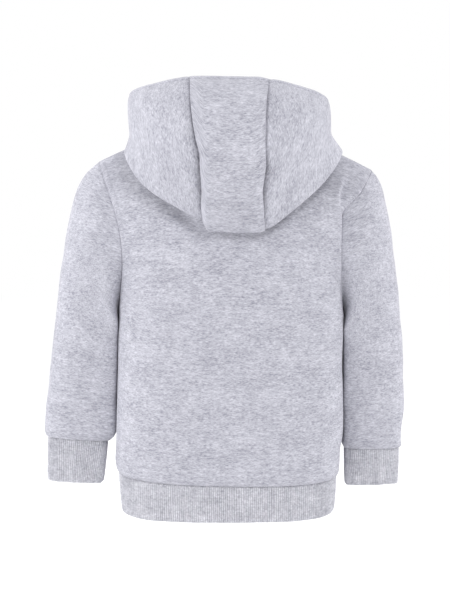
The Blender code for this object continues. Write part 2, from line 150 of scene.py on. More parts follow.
# The sleeves hang flat: the powers that square their sections towards the body, by height from the
# wrist up, and on the outer side (0 is a box), and how far their backs lean over the body's side. The
# lean sets in at this depth, is full after this reach and grows to this many times that at most
INNER_SQUARE = ((-0.352, 0.35), (-0.335, 0.12), (-0.285, 0.11), (-0.235, 0.19))
OUTER_SQUARE = 0.85
SLEEVE_TUCK = 0.0115
TUCK_FROM, TUCK_REACH, TUCK_MOST = 0.014, 0.021, 1.2
ARMHOLE = SleeveRing(*SLEEVE[0])
# At the armhole: how sharply the inner and outer halves of a section turn, and how square it is
ARMHOLE_SHARP = (1.6, 2.2)
ARMHOLE_SQUARE = 0.75

HoodRing = namedtuple("HoodRing", "back_y back_z side_y side_z middle half vee seam")
HOOD = (
    (0.046, -0.0140, -0.002, 0.0000, -0.0060, 0.0630, 2.0, 0.0380),
    (0.050, 0.0000, -0.001, 0.0100, -0.0060, 0.0680, 2.0, 0.0370),
    (0.057, 0.0060, 0.001, 0.0150, -0.0060, 0.0735, 2.0, 0.0360),
    (0.068, -0.0020, 0.004, 0.0120, -0.0060, 0.0800, 1.9, 0.0350),
    (0.074, -0.0280, 0.008, 0.0030, -0.0060, 0.0880, 1.6, 0.0340),
    (0.079, -0.0650, 0.018, -0.0060, -0.0060, 0.0990, 1.3, 0.0340),
    (0.0805, -0.0955, 0.026, -0.0120, -0.0055, 0.1100, 1.1, 0.0345),
    (0.0818, -0.1055, 0.030, -0.0160, -0.0050, 0.1170, 1.1, 0.0345),
    (0.0890, -0.1045, 0.031, -0.0130, -0.0050, 0.1195, 1.1, 0.0345),
    (0.1025, -0.0925, 0.030, -0.0050, -0.0035, 0.1155, 1.1, 0.0345),
    (0.127, -0.0620, 0.029, 0.0045, -0.0020, 0.1105, 1.2, 0.0350),
    (0.145, -0.0240, 0.025, 0.0140, -0.0015, 0.1100, 1.4, 0.0370),
    (0.139, 0.0090, 0.018, 0.0250, -0.0015, 0.1100, 1.5, 0.0400),
    (0.115, 0.0380, 0.010, 0.0345, -0.0015, 0.1095, 1.6, 0.0410),
    (0.086, 0.0545, 0.004, 0.0410, -0.0015, 0.1070, 1.6, 0.0415),
    (0.068, 0.0570, -0.002, 0.0430, -0.0020, 0.1030, 1.6, 0.0415),
)
# How the hood's sides sag beyond their solids, ring by ring: how much of the edge's rise is straight
# before it steepens, how much of it is a step at the panel seam, and how much lower it ends
SAG = (0.0, 0.0, 0.0, 0.0, 0.4, 0.8, 1.0, 1.0, 1.0, 1.0, 1.0, 0.6, 0.2, 0.0, 0.0, 0.0)
Sag = namedtuple("Sag", "straight step drop")
SAGS = {LEFT: Sag(0.62, 0.13, 0.009), RIGHT: Sag(0.80, 0.00, 0.003)}
SAG_STEEP = 6
STEP_BEFORE, STEP_REACH = 0.08, 0.10
# The share of a ring's half that is level before its edge rises, and the power of its outline
HOOD_FLAT = 0.28
HOOD_SQUARE = 2.2
# The face edge at the centre front (y, z) and the gap between the hood's sides there
HOOD_FRONT_EDGE = (-0.072, -0.030)
HOOD_FRONT_GAP = 0.0012
# How fast the side's fold fades towards the front (x, y, z), in how many passes it softens, and how
# far the cloth bulges up between side and front and how fast that sets in above the neck
HOOD_FADE = np.array([2.4, 2.4, 2.8])
HOOD_SOFTEN = 60 * (HOOD_ROWS / 24) ** 2
HOOD_LIFT, HOOD_LIFT_RISE = 0.0045, 5
# How far the hood's panel seams draw in, over what distance, from which share of the way to the face
# edge on, and how fast this sets in and goes again
PINCH_DEPTH = 0.0022
PINCH_WIDTH = 0.008
PINCH_FROM, PINCH_RISE, PINCH_FALL = 0.3, 8, 3

# ---- creases, in mm

# A crease runs from one point to another, as seen from straight behind or in front, and pushes the
# cloth out (a ridge) or in (a trough). Its right side can be wider or narrower than its left. It is
# on the back (1), on the front (-1) or on both (0). Creases are listed by the piece they are on.
Crease = namedtuple("Crease", "facing x0 z0 x1 z1 width push lean")
CREASES = {
    "back": (
        (1, 2, -312, 0, -362, 10, -1.8, 0.3), (1, 34, -330, 42, -368, 12, -1.1, -0.2),
        (1, 62, -78, 27, -105, 8, -6.5, 0.0), (1, -34, -106, -62, -86, 6, -2.0, 0.0),
        (1, 26, -108, -36, -110, 5, -1.6, 0.0), (1, -38, -338, -46, -370, 11, -1.0, 0.2),
        (1, -84, -110, -86, -300, 15, -2.2, 0.3), (1, -92, -180, -88, -340, 17, -2.4, -0.3),
        (1, 88, -120, 92, -240, 15, -1.4, -0.3), (1, 96, -205, 66, -250, 14, 1.1, 0.2),
        (1, -100, -200, -62, -262, 15, 1.1, -0.2), (1, 70, -322, 96, -362, 12, -1.4, 0.2),
    ),
    "front": (
        (-1, -4, -318, -2, -366, 11, -1.5, -0.3), (-1, 40, -322, 48, -366, 12, -1.2, 0.2),
        (-1, -50, -326, -56, -366, 12, -1.2, -0.2), (-1, 98, -206, 60, -262, 15, 1.3, 0.2),
        (-1, -100, -208, -58, -258, 14, 1.3, -0.2), (-1, 84, -130, 88, -300, 16, -1.6, 0.3),
        (-1, -84, -126, -90, -290, 15, -1.5, -0.3), (-1, 22, -92, 48, -128, 13, -1.0, 0.2),
        (-1, -34, -92, -58, -124, 13, -1.0, -0.2),
    ),
    "sleeve_left": (
        (1, 128, -190, 160, -150, 11, -2.0, 0.3), (1, 130, -222, 172, -196, 12, -1.6, -0.2),
        (0, 134, -262, 168, -252, 11, -1.3, 0.2), (0, 140, -306, 186, -300, 10, -1.3, 0.2),
        (0, 150, -328, 200, -322, 8, -1.4, -0.3), (1, 160, -60, 176, -110, 12, -1.0, 0.2),
        (-1, 126, -186, 168, -160, 12, -1.8, 0.2), (-1, 132, -236, 176, -206, 12, -1.5, -0.2),
    ),
    "sleeve_right": (
        (1, -136, -196, -164, -158, 11, -2.0, 0.3), (1, -136, -230, -174, -206, 12, -1.6, 0.2),
        (0, -138, -274, -170, -258, 11, -1.3, -0.2), (0, -142, -316, -184, -306, 10, -1.3, 0.2),
        (0, -150, -334, -192, -326, 8, -1.4, -0.3), (1, -168, -70, -180, -120, 12, -1.0, -0.2),
        (-1, -134, -192, -172, -168, 12, -1.8, 0.2), (-1, -140, -240, -178, -214, 12, -1.5, -0.2),
    ),
    "hood_left": (
        (1, 85, 52, 88, 12, 5, 1.6, -0.5), (1, 99, 30, 88, -40, 8, -2.6, 0.3),
        (1, 86, 24, 74, -40, 8, 1.4, -0.2), (1, 64, -10, 50, -70, 12, -1.2, 0.2),
        (0, 116, 4, 112, -30, 16, -2.6, 0.0),
    ),
    "hood_right": ((1, -96, 20, -92, -30, 10, -1.2, 0.3), (1, -70, 24, -62, -40, 14, -1.0, -0.2)),
    "hood_centre": ((1, -6, -20, 8, -60, 16, -0.8, 0.2),),
}
# Folds that run over the armhole seams, so both cloths at the seam move alike
SHOULDER_FOLDS = ((-1, 134, -62, 122, -120, 9, 1.8, 0.2), (-1, -136, -66, -124, -124, 9, 1.8, -0.2))
# How far each side and its armhole seam stray to the wearer's left, from the hem up: (z, shift)
NUDGES = {
    LEFT: (
        (-385, 0.0), (-350, -1.0), (-315, -2.0), (-265, -1.8), (-230, 0.0), (-196, 1.2),
        (-178, 1.4), (-150, 0.6), (-110, 0.0), (-51, 1.0), (-30, 0.0),
    ),
    RIGHT: (
        (-385, 0.0), (-378, 0.5), (-367, 1.2), (-350, 1.2), (-330, -0.2), (-264, 0.0), (-230, -1.0),
        (-196, -2.4), (-160, -5.4), (-143, -5.8), (-127, -4.0), (-110, -1.0), (-95, 3.6),
        (-86, 6.6), (-78, 4.0), (-71, 0.8), (-66, -0.8), (-55, -1.2), (-40, 0.0),
    ),
}
NUDGE_REACH = 0.028
# Beside each armhole the torso's cloth laps over the sleeve's. From the underarm up: (z, x of the lap's
# edge, how far the cloth inside the edge stands out, how far the cloth beyond it lies in)
LAPS = {
    LEFT: (
        (-225, 122, 0.0, 0.0), (-200, 120.5, 0.2, 0.0), (-178, 119.2, 0.6, 0.2),
        (-160, 116.2, 0.4, 0.5), (-143, 115.6, 0.1, 0.1), (-127, 115.3, 0.8, 0.4),
        (-110, 116.8, 1.3, 0.8), (-94, 120, 1.2, 0.5), (-73, 126.4, 0.4, 0.2), (-60, 131, 0.0, 0.0),
    ),
    RIGHT: (
        (-225, -129.5, 0.0, 0.0), (-200, -128.5, 0.2, 0.0), (-178, -125.8, 0.9, 2.0),
        (-160, -124.4, 0.9, 2.2), (-143, -123.8, 0.9, 1.8), (-127, -123.2, 0.9, 2.4),
        (-95, -124.1, 1.1, 2.9), (-78, -122.8, 1.4, 5.0), (-68, -122.8, 1.6, 6.5),
        (-59, -125.5, 1.6, 5.5), (-51, -128.6, 1.0, 2.2), (-44, -134, 0.0, 0.0),
    ),
}
# How far inside its edge a lap's top is, how wide the top is and how far the hollow beyond reaches
LapShape = namedtuple("LapShape", "top width reach")
LAP_SHAPES = {LEFT: LapShape(1.0, 4.5, 4.0), RIGHT: LapShape(4.0, 4.0, 6.0)}
# How the cloth beside a hood seam sinks towards it: (share of the way from neck to face edge, depth,
# width)
SEAM_DIPS = {
    "hood_left": (
        (0.52, 1.0, 4.0), (0.60, 2.5, 3.6), (0.65, 8.0, 4.4), (0.72, 9.0, 4.2), (0.78, 5.0, 3.2),
        (0.86, 2.0, 3.0), (1.00, 0.3, 3.0),
    ),
    "hood_right": (
        (0.52, 2.0, 4.0), (0.60, 2.0, 3.0), (0.64, 5.0, 3.4), (0.69, 8.0, 4.2), (0.725, 3.0, 3.0),
        (0.84, 3.0, 2.6), (1.00, 0.3, 3.0),
    ),
}
# How far a hood seam strays to the wearer's left: (share of the way from neck to face edge, shift)
SEAM_WANDERS = {
    "left": (
        (0.55, 0.0), (0.61, -0.5), (0.64, -2.6), (0.69, -3.4), (0.72, -4.6), (0.75, -2.8),
        (0.80, -1.6), (0.85, 0.0), (1.00, 0.8),
    ),
    "right": (
        (0.55, -1.4), (0.62, -1.2), (0.66, 0.3), (0.705, -1.8), (0.73, -0.4), (0.76, 1.6),
        (0.81, 3.5), (0.86, 2.4), (0.90, 0.8), (1.00, 0.6),
    ),
}
WANDER_REACH = 0.016
# fmt: on

# ---- the skin, drawn as in the solids


def evenly(count):
    """This many shares from 0 to 1."""
    return np.linspace(0, 1, count)


def smooth_rows(table, count):
    """The table drawn out to count rows along a Catmull-Rom curve, as many between any two rows."""
    rows = np.array(table, float)
    ends = np.vstack([2 * rows[0] - rows[1], rows, 2 * rows[-1] - rows[-2]])
    at = np.linspace(0, len(rows) - 1, count)
    first = np.minimum(at.astype(int), len(rows) - 2)
    t = (at - first)[:, None]
    p, q, r, s = (ends[first + i] for i in range(4))
    return q + 0.5 * ((r - p) * t + (2 * p - 5 * q + 4 * r - s) * t**2 + (3 * q - p - 3 * r + s) * t**3)


def lengths(points):
    """How far along the polyline each point lies."""
    return np.concatenate([[0], np.cumsum(np.linalg.norm(np.diff(points, axis=0), axis=1))])


def smooth_step(share):
    share = np.clip(share, 0, 1)
    return share * share * (3 - 2 * share)


def bell(distance, width):
    """1 at no distance, fading out over the width to either side."""
    return np.exp(-((distance / width) ** 2))


def sample(values, along, at):
    """The values at these lengths along a line, whose points lie at the lengths along."""
    return np.stack([np.interp(at, along, column) for column in values.T], axis=-1)


def read_at(table, at):
    """The table's other columns at these values of its first one."""
    places, *columns = np.transpose(table)
    return [np.interp(at, places, column) for column in columns]


def even_curve(points, count):
    """The polyline again, as count points that are equally far apart along it."""
    along = lengths(points)
    return sample(points, along, np.linspace(0, along[-1], count))


def quarter(square, end=pi / 2):
    """Part of a quarter of a unit rounded box, from the middle of its back towards its side."""
    angle = np.linspace(0, end, FINE)
    return np.sin(angle) ** (2 / square), np.cos(angle).clip(0) ** (2 / square)


def hang(points):
    """The garment's crooked hang: the left goes up and the right down, fading out at the hem."""
    hung = points.copy()
    hung[..., 2] += TILT * points[..., 0] * smooth_step((points[..., 2] - TILT_FOOT) / TILT_RAMP)
    return hung


def body_half(section, side, back, count, square=BODY_SQUARE):
    """Half a torso section, from the middle of the back or front to the side seam."""
    across, deep = quarter(square)
    x = section.middle + side * section.half * across
    y = (section.back if back else -section.front) * deep
    z = section.z - section.dip * deep**2
    return even_curve(np.stack([x, y, z], axis=1), count)


def neckline_half(side, back):
    """Half the neckline, from its middle to the shoulder seam."""
    y_end, z_end = NECK_BACK if back else NECK_FRONT
    angle = np.linspace(0, pi / 2, FINE)
    x = NECK_MIDDLE + side * NECK_HALF * np.sin(angle)
    y = NECK_SIDE_Y + (y_end - NECK_SIDE_Y) * np.cos(angle)
    z = z_end * np.cos(angle) ** NECK_DIP
    return even_curve(np.stack([x, y, z], axis=1), NECK_CELLS + 1)


def shoulder_seam(side):
    """From the neckline to the shoulder tip, slightly arched."""
    neck = neckline_half(side, True)[-1]
    tip = armhole_arc(ARMHOLE, side, True, np.array([1.0]))[0]
    share = evenly(SHOULDER_CELLS + 1)[:, None]
    return neck + (tip - neck) * share + np.sin(pi * share) * [0, 0, SHOULDER_ARCH]


def yoke_arc(middle, edge, count):
    """A section that is cut short by the armhole, from the middle of the panel to the edge."""
    ratio = np.clip(edge[1] / middle[1], 0, 1)
    across, deep = quarter(BODY_SQUARE, np.arccos(ratio ** (BODY_SQUARE / 2)))
    drop = (1 - deep) / (1 - deep[-1])
    share = np.stack([across / across[-1], drop, evenly(FINE)], axis=1)
    return even_curve(middle + (edge - middle) * share, count)


def yoke_half(side, back):
    """The panel above the underarm, from the chest to the neckline and shoulder seam."""
    shares = evenly(YOKE_ROWS + 1)
    bottom = body_half(BODY[-1], side, back, PANEL_CELLS + 1)
    top = np.vstack([neckline_half(side, back), shoulder_seam(side)[1:]])
    profile = even_curve(smooth_rows(CENTRE_BACK if back else CENTRE_FRONT, FINE), YOKE_ROWS + 1)
    middle_x = BODY[-1].middle + (NECK_MIDDLE - BODY[-1].middle) * shares
    middle = np.column_stack([middle_x, profile])
    edge = armhole_arc(ARMHOLE, side, back, shares)
    patch = np.array([yoke_arc(*ends, PANEL_CELLS + 1) for ends in zip(middle, edge)])
    low, high = bottom - patch[0], top - patch[-1]
    low[-1] = 0
    fall, rise = (share[:, None, None] ** YOKE_ROLL for share in (1 - shares, shares))
    return patch + fall * low + rise * high


def torso_panel(back):
    """The whole back or front: a grid of rows going up, with columns from right to left."""
    sections = [Section(*row) for row in smooth_rows(BODY, BODY_ROWS + 1)[:-1]]
    halves = []
    for side in (RIGHT, LEFT):
        lower = [body_half(section, side, back, PANEL_CELLS + 1) for section in sections]
        halves.append(np.concatenate([lower, yoke_half(side, back)]))
    right, left = halves
    return np.concatenate([right[:, ::-1], left[:, 1:]], axis=1)


def half_ring(ring, side, back, turn, deep, inward):
    """Half a sleeve section, by how far round, how deep and how far drawn inward its points are."""
    outer, inner = (ring.left, ring.inner_left) if side > 0 else (ring.right, ring.inner_right)
    x = inner + (outer - inner) * turn - inward
    y = ring.mid_y + (ring.depth if back else -ring.depth) * deep
    z = ring.inner_z + (ring.outer_z - ring.inner_z) * turn
    return np.stack([side * x, y, z], axis=1)


def armhole_arc(ring, side, back, shares):
    """Half a sleeve section as at the armhole, at shares of its width from inner to outer edge."""
    across = 2 * shares - 1
    deep = np.clip(1 - np.abs(across) ** np.where(across < 0, *ARMHOLE_SHARP), 0, 1) ** ARMHOLE_SQUARE
    scoop = ring.scoop_left if side > 0 else ring.scoop_right
    return half_ring(ring, side, back, shares, deep, scoop * np.sin(pi * shares))


def round_arc(ring, side, back, shares):
    """The same half as a flattened ellipse, for sections away from the armhole."""
    turn = (1 - np.cos(pi * shares)) / 2
    square = np.where(shares < 0.5, read_at(INNER_SQUARE, ring.inner_z)[0], OUTER_SQUARE)
    deep = np.sin(pi * shares).clip(0) ** square
    lean = np.clip((ring.mid_y + ring.depth - TUCK_FROM) / TUCK_REACH, 0, TUCK_MOST) if back else 0
    return half_ring(ring, side, back, turn, deep, SLEEVE_TUCK * lean * deep**5 * (1 - turn) ** 8)


def sleeve_ring(ring, side, count, roundness):
    """A whole section from the underarm, up the back to the outer edge and down the front."""
    shares, fine = evenly(count // 2 + 1), evenly(FINE)
    halves = []
    for back in (True, False):
        along = lengths(round_arc(ring, side, back, fine))
        even = np.interp(shares * along[-1], along, fine)
        spread = shares + (even - shares) * roundness
        armhole, ellipse = (arc(ring, side, back, spread) for arc in (armhole_arc, round_arc))
        halves.append(armhole + (ellipse - armhole) * roundness)
    return np.concatenate([halves[0][:-1], halves[1][:0:-1]])


def sleeve_skin(side):
    """A sleeve: a grid of closed rings from the armhole down."""
    rings = [SleeveRing(*row) for row in smooth_rows(SLEEVE, SLEEVE_ROWS + 1)]
    roundness = np.clip(evenly(len(rings)) * 3, 0, 1)
    made = [sleeve_ring(ring, side, 2 * YOKE_ROWS, share) for ring, share in zip(rings, roundness)]
    return np.array(made)


def hood_back(ring, side, sag):
    """The back part of a hood ring, from its middle to its side."""
    across, deep = quarter(HOOD_SQUARE)
    straight, step, drop = SAGS[side]
    step, drop = step * sag, drop * sag
    share = np.clip((across - HOOD_FLAT) / (1 - HOOD_FLAT), 0, 1)
    sagged = straight * share + (1 - straight) * share**SAG_STEEP
    slope = share**ring.vee * (1 - sag) + sagged * sag
    rise = smooth_step((across - ring.seam / ring.half + STEP_BEFORE) / STEP_REACH)
    slope = step * rise + (1 - step) * slope
    x = ring.middle + side * ring.half * across
    y = ring.side_y + (ring.back_y - ring.side_y) * deep
    side_z = ring.side_z - drop
    z = side_z + (ring.back_z - side_z) * (1 - slope)
    return np.stack([x, y, z], axis=1)


def soften(rows, passes):
    """The rows, each averaged with its neighbours again and again. The ends stay."""
    soft = rows.copy()
    for _ in range(int(passes)):
        soft[1:-1] = (soft[:-2] + 2 * soft[1:-1] + soft[2:]) / 4
    return soft


def hood_fronts(sides, side):
    """The front part of each ring, from its side to the middle. The side's fold fades out there."""
    angle = np.linspace(0, pi / 2, FINE)[:, None]
    shares = evenly(len(sides))[:, None]
    plain = sides[0] + (sides[-1] - sides[0]) * shares
    low = np.array([NECK_MIDDLE, *NECK_FRONT])
    high = np.array([NECK_MIDDLE, *HOOD_FRONT_EDGE])
    middle = low + (high - low) * shares + [side * HOOD_FRONT_GAP / 2, 0, 0]
    toward = np.hstack([1 - np.cos(angle), np.sin(angle), 1 - np.cos(angle) ** NECK_DIP])
    fade = np.cos(angle) ** HOOD_FADE
    bends = sides - plain
    softs = soften(bends, HOOD_SOFTEN)
    lifts = HOOD_LIFT * np.minimum(shares[:, 0] * HOOD_LIFT_RISE, 1)
    for start, end, bend, soft, lift in zip(plain, middle, bends, softs, lifts):
        fold = bend + (soft - bend) * np.sin(angle) ** 0.35
        curve = start + (end - start) * toward + fold * fade
        curve[:, 2] += lift * np.sin(2 * angle[:, 0])
        yield curve


def hood_half(side):
    """Half the hood: the columns before the panel seam, then those of the side panel."""
    rings = [HoodRing(*row) for row in smooth_rows(HOOD, HOOD_ROWS + 1)]
    sags = np.interp(evenly(len(rings)), evenly(len(SAG)), SAG)
    backs = [hood_back(ring, side, sag) for ring, sag in zip(rings, sags)]
    fronts = hood_fronts(np.array([back[-1] for back in backs]), side)
    grid = []
    for ring, back, front in zip(rings, backs, fronts):
        curve = np.concatenate([back, front[1:]])
        across = side * (curve[:, 0] - ring.middle)
        at_seam = int(np.argmax(across >= ring.seam))
        near, far = across[at_seam - 1 : at_seam + 1]
        before, after = curve[at_seam - 1 : at_seam + 1]
        seam = before + (after - before) * (ring.seam - near) / (far - near)
        centre = even_curve(np.vstack([curve[:at_seam], seam]), PANEL_SEAM_CELLS + 1)
        rest = even_curve(np.vstack([seam, curve[at_seam:]]), 2 * NECK_CELLS - PANEL_SEAM_CELLS + 1)
        grid.append(np.concatenate([centre, rest[1:]]))
    grid = np.array(grid)
    grid[0] = np.concatenate([neckline_half(side, True), neckline_half(side, False)[-2::-1]])
    return grid


def hood_skins():
    """The centre panel and the two side panels, with columns from right to left."""
    right, left = hood_half(RIGHT), hood_half(LEFT)
    seam = PANEL_SEAM_CELLS
    centre = np.concatenate([right[:, seam:0:-1], left[:, : seam + 1]], axis=1)
    return {"hood_centre": centre, "hood_right": right[:, : seam - 1 : -1], "hood_left": left[:, seam:]}


# ---- normals and distances on a grid

# Directions whose cosine is above this count as one where panels meet
SAME_WAY = 0.97
# The extra lines beside an edge take at most this share of a column
EDGE_SHARE = 0.45


def unit(vectors):
    return vectors / np.maximum(np.linalg.norm(vectors, axis=-1, keepdims=True), 1e-12)


def key(point):
    """The same for all points within about 0.01 mm."""
    return tuple(np.round(point * 1e5).astype(int))


def own_normals(grid, closed=False):
    """The outward direction at each point of a grid."""
    ring = np.concatenate([grid, grid[:, :1]], axis=1) if closed else grid
    a, b, c, d = ring[:-1, :-1], ring[:-1, 1:], ring[1:, 1:], ring[1:, :-1]
    face = unit(np.cross(c - a, b - d))
    total = np.zeros_like(ring)
    for rows in (np.s_[:-1], np.s_[1:]):
        for columns in (np.s_[:-1], np.s_[1:]):
            total[rows, columns] += face
    if closed:
        total[:, 0] += total[:, -1]
        total = total[:, :-1]
    return unit(total)


def shared_normals(skins):
    """The same for all grids. Where panels meet they share one direction, between their own."""
    own = {name: own_normals(grid, name in SLEEVES) for name, grid in skins.items()}
    meeting, edges = {}, {}
    for name, grid in skins.items():
        rim = np.zeros(grid.shape[:2], bool)
        rim[[0, -1]] = True
        if name not in SLEEVES:
            rim[:, [0, -1]] = True
        edges[name] = rim
        for point, normal in zip(grid[rim], own[name][rim]):
            found = meeting.setdefault(key(point), [])
            if all(normal @ other < SAME_WAY for other in found):
                found.append(normal)
    for name, grid in skins.items():
        rim = edges[name]
        own[name][rim] = unit(np.array([sum(meeting[key(point)]) for point in grid[rim]]))
    return own


def pinched(grids, normals):
    """The hood with its panel seams drawn in, as the seam allowance pulls the cloth there."""
    seams = (grids["hood_centre"][:, -1], grids["hood_centre"][:, 0])
    made = {}
    for name in HOODS:
        grid = grids[name]
        depth = np.zeros(grid.shape[:2])
        for seam in seams:
            gap = np.linalg.norm(grid - seam[:, None], axis=-1)
            depth = np.maximum(depth, bell(gap, PINCH_WIDTH))
        share = evenly(len(grid))[:, None]
        along = np.clip((share - PINCH_FROM) * PINCH_RISE, 0, 1)
        along = along * np.clip((1 - share) * PINCH_FALL, 0, 1)
        made[name] = grid - normals[name] * (depth * along * PINCH_DEPTH)[..., None]
    return made


def along_rows(grid):
    """How far each point lies along its row."""
    steps = np.linalg.norm(np.diff(grid, axis=1), axis=-1)
    return np.concatenate([np.zeros((len(grid), 1)), np.cumsum(steps, axis=1)], axis=1)


def along_columns(grid):
    """How far each point lies along its column."""
    return along_rows(grid.transpose(1, 0, 2)).T


def near_edge(stack, distances, axis=0, end=False):
    """The grid with extra lines at these distances from one edge, and its other lines spread over
    the rest. Columns too short for the distances take them closer together. Positions come first
    in the stack."""
    if axis:
        stack = stack.transpose(1, 0, 2)
    if end:
        stack = stack[::-1]
    along = along_columns(stack[..., :3])
    fit = np.minimum(1, EDGE_SHARE * along[-1] / max(distances[-1], 1e-6))
    start = distances[-1] * fit
    shares = evenly(len(stack))[1:]
    targets = [distance * fit for distance in distances]
    targets += [start + (along[-1] - start) * share for share in shares]
    columns = np.arange(stack.shape[1])
    lines = []
    for target in targets:
        after = np.clip((along <= target).sum(axis=0), 1, len(stack) - 1)
        low, high = along[after - 1, columns], along[after, columns]
        share = ((target - low) / np.maximum(high - low, 1e-12))[:, None]
        lines.append(stack[after - 1, columns] * (1 - share) + stack[after, columns] * share)
    made = np.array(lines)
    if end:
        made = made[::-1]
    return made.transpose(1, 0, 2) if axis else made


# ---- the cloth's relief

# How many waves make the drift, and how their lengths spread about its size
DRIFT_WAVES = 9
DRIFT_SPREAD = (0.6, 1.6)
# How round the cloth turns in at a seam
ROLL_ROUND = 2.2
# How fast relief fades where the cloth turns to the side
FACING_SHARP = 1.5
# A crease's ends cut off this share of its half wave, and its two widths change over at this rate
CREASE_END = 0.12
CREASE_TURN = 1.5
# The hollow beyond a lap sets in this far inside its edge and over this width, in mm
HOLLOW_BEFORE, HOLLOW_RAMP = 1.2, 1.8


def faces(normal, way):
    """1 where the cloth faces the back (way 1) or the front (way -1), fading to 0 at the sides."""
    return smooth_step(0.5 + FACING_SHARP * way * normal[..., 1])


def crease_relief(creases, grid, normal):
    """How far these creases push each point out, in metres."""
    x, z = grid[..., 0] / MM, grid[..., 2] / MM
    total = np.zeros(grid.shape[:2])
    for crease in (Crease(*row) for row in creases):
        start = np.array([crease.x0, crease.z0])
        step = np.array([crease.x1, crease.z1]) - start
        share = ((x - start[0]) * step[0] + (z - start[1]) * step[1]) / (step @ step)
        near = np.clip(share, 0, 1)
        away_x, away_z = x - start[0] - near * step[0], z - start[1] - near * step[1]
        side = np.tanh((away_x * step[1] - away_z * step[0]) / np.hypot(*step) * CREASE_TURN)
        width = crease.width * (1 + crease.lean * side)
        fade = np.sin(pi * np.clip(CREASE_END + (1 - 2 * CREASE_END) * near, 0, 1))
        facing = faces(normal, crease.facing) if crease.facing else 1
        total += crease.push * fade * facing * np.exp(-(away_x**2 + away_z**2) / width**2)
    return total * MM


def drift(grid, seed, size, height):
    """Slow, uneven waves, so that no stretch of cloth is quite plain."""
    random = np.random.default_rng(seed)
    total = np.zeros(grid.shape[:2])
    for _ in range(DRIFT_WAVES):
        direction = unit(random.normal(size=3)) * random.uniform(*DRIFT_SPREAD) * 2 * pi / size
        total += np.sin(grid @ direction + random.uniform(0, 2 * pi))
    return total / np.sqrt(DRIFT_WAVES) * height


def lap_relief(grid, normal):
    """How far the laps beside the armholes push each point of the torso or a sleeve out."""
    x, z = grid[..., 0] / MM, grid[..., 2] / MM
    total = np.zeros(grid.shape[:2])
    for side, shape in LAP_SHAPES.items():
        line, out, fall = read_at(LAPS[side], z)
        beyond = side * (x - line)
        hollow = smooth_step((beyond + HOLLOW_BEFORE) / HOLLOW_RAMP)
        hollow = hollow * np.exp(-beyond.clip(0) / shape.reach)
        total += out * bell(beyond + shape.top, shape.width) - fall * hollow
    return total * faces(normal, 1) * MM


def seam_roll(distance, depth, width):
    """The rounded shoulder of cloth that turns in to a seam."""
    return -depth * (1 - np.clip(distance / width, 0, 1)) ** ROLL_ROUND


def linear(code):
    """An sRGB hex colour as linear RGBA."""
    parts = [int(code[i : i + 2], 16) / 255 for i in (0, 2, 4)]
    return (*(c / 12.92 if c <= 0.04045 else ((c + 0.055) / 1.055) ** 2.4 for c in parts), 1.0)


# ---- sizes and colours a user can set


def length(name, default, description):
    return bpy.props.FloatProperty(
        name=name, description=description, default=default, min=0, unit="LENGTH", precision=5
    )


def colour(name, code, description):
    return bpy.props.FloatVectorProperty(
        name=name, description=description, default=linear(code), size=4, subtype="COLOR", min=0, max=1
    )


class HoodieSizes(bpy.types.PropertyGroup):
    fleece: length("Fleece", 0.0013, "Thickness of the sweatshirt fleece")
    roll_depth: length("Seam depth", 0.0011, "How far the cloth turns in at a seam")
    roll_width: length("Seam width", 0.0030, "How wide the turn beside a seam is")
    rib_wall: length("Rib", 0.0026, "Thickness of the doubled rib at the cuffs and hem")
    rib_pitch: length("Rib pitch", 0.0023, "From one rib to the next")
    rib_height: length("Rib height", 0.0009, "How far the ribs stand out")
    face_hem: length("Face hem", 0.0200, "Width of the hood's turned face edge")
    twin_gap: length("Twin needle", 0.0058, "Between the two rows of topstitching at the armholes")
    stitch: length("Stitch", 0.0027, "Length of one topstitch")
    thread: length("Thread", 0.00042, "Thickness of the sewing thread")


class HoodieColours(bpy.types.PropertyGroup):
    pale: colour("Pale fibres", "C7C7D0", "The white cotton of the melange")
    dark: colour("Dark fibres", "82828D", "The grey fibres spun into it")
    inside: colour("Brushed inside", "C6C6D0", "The brushed back of the fleece")
    thread: colour("Thread", "C0C0CB", "Sewing thread")
    floor: colour("Floor", "FFFFFF", "Studio floor")


# ---- finished cloth

# How far from an edge the extra lines of a panel's grid lie: at a plain seam, at an armhole and at the
# hood's face edge
# fmt: off
SEAM_LINES = (0.0, 0.0003, 0.0007, 0.0012, 0.0018, 0.0026, 0.0035, 0.0046, 0.0058, 0.0072, 0.0088)
ARMHOLE_LINES = (
    0.0, 0.0003, 0.0007, 0.0011, 0.0014, 0.0018, 0.0026, 0.0038, 0.0052, 0.0063, 0.0068, 0.0072,
    0.0077, 0.0082, 0.0092, 0.0108,
)
FACE_LINES = (
    0.0, 0.0002, 0.0006, 0.0012, 0.0030, 0.0060, 0.0100, 0.0140, 0.0170, 0.0184, 0.0192, 0.0196,
    0.0200, 0.0204, 0.0208, 0.0216, 0.0230,
)
SEEDS = {
    "back": 3, "front": 5, "sleeve_left": 7, "sleeve_right": 11, "hood_centre": 13, "hood_left": 17,
    "hood_right": 19,
}
# fmt: on
ARMHOLE_SHARE = BODY_ROWS / (BODY_ROWS + YOKE_ROWS)
# From the armhole seam to the first row of topstitching
FIRST_NEEDLE = 0.0012
# How far doubled cloth stands out, how deep stitches sink it and how deep its edge is rounded
HEM_LIFT, HEM_GROOVE, HEM_ROUND = 0.0006, 0.0005, 0.0006
ARMHOLE_LIFT, ARMHOLE_GROOVE = 0.00025, 0.0002
# How wide such a step and such a groove are
STEP_WIDTH = 0.0012
GROOVE_WIDTH = 0.0006
# The cloth's slow waves: (size, height)
DRIFTS = ((0.085, 0.0006), (0.032, 0.00016))
# Creases fade out over this distance from a seam. The hood has none before this share of its way from
# neck to face edge, where they set in, and so do the dips beside its seams
SEAM_CALM = 0.012
HOOD_CALM = 0.46
HOOD_RAMP = 0.08
DIP_RAMP = 0.06
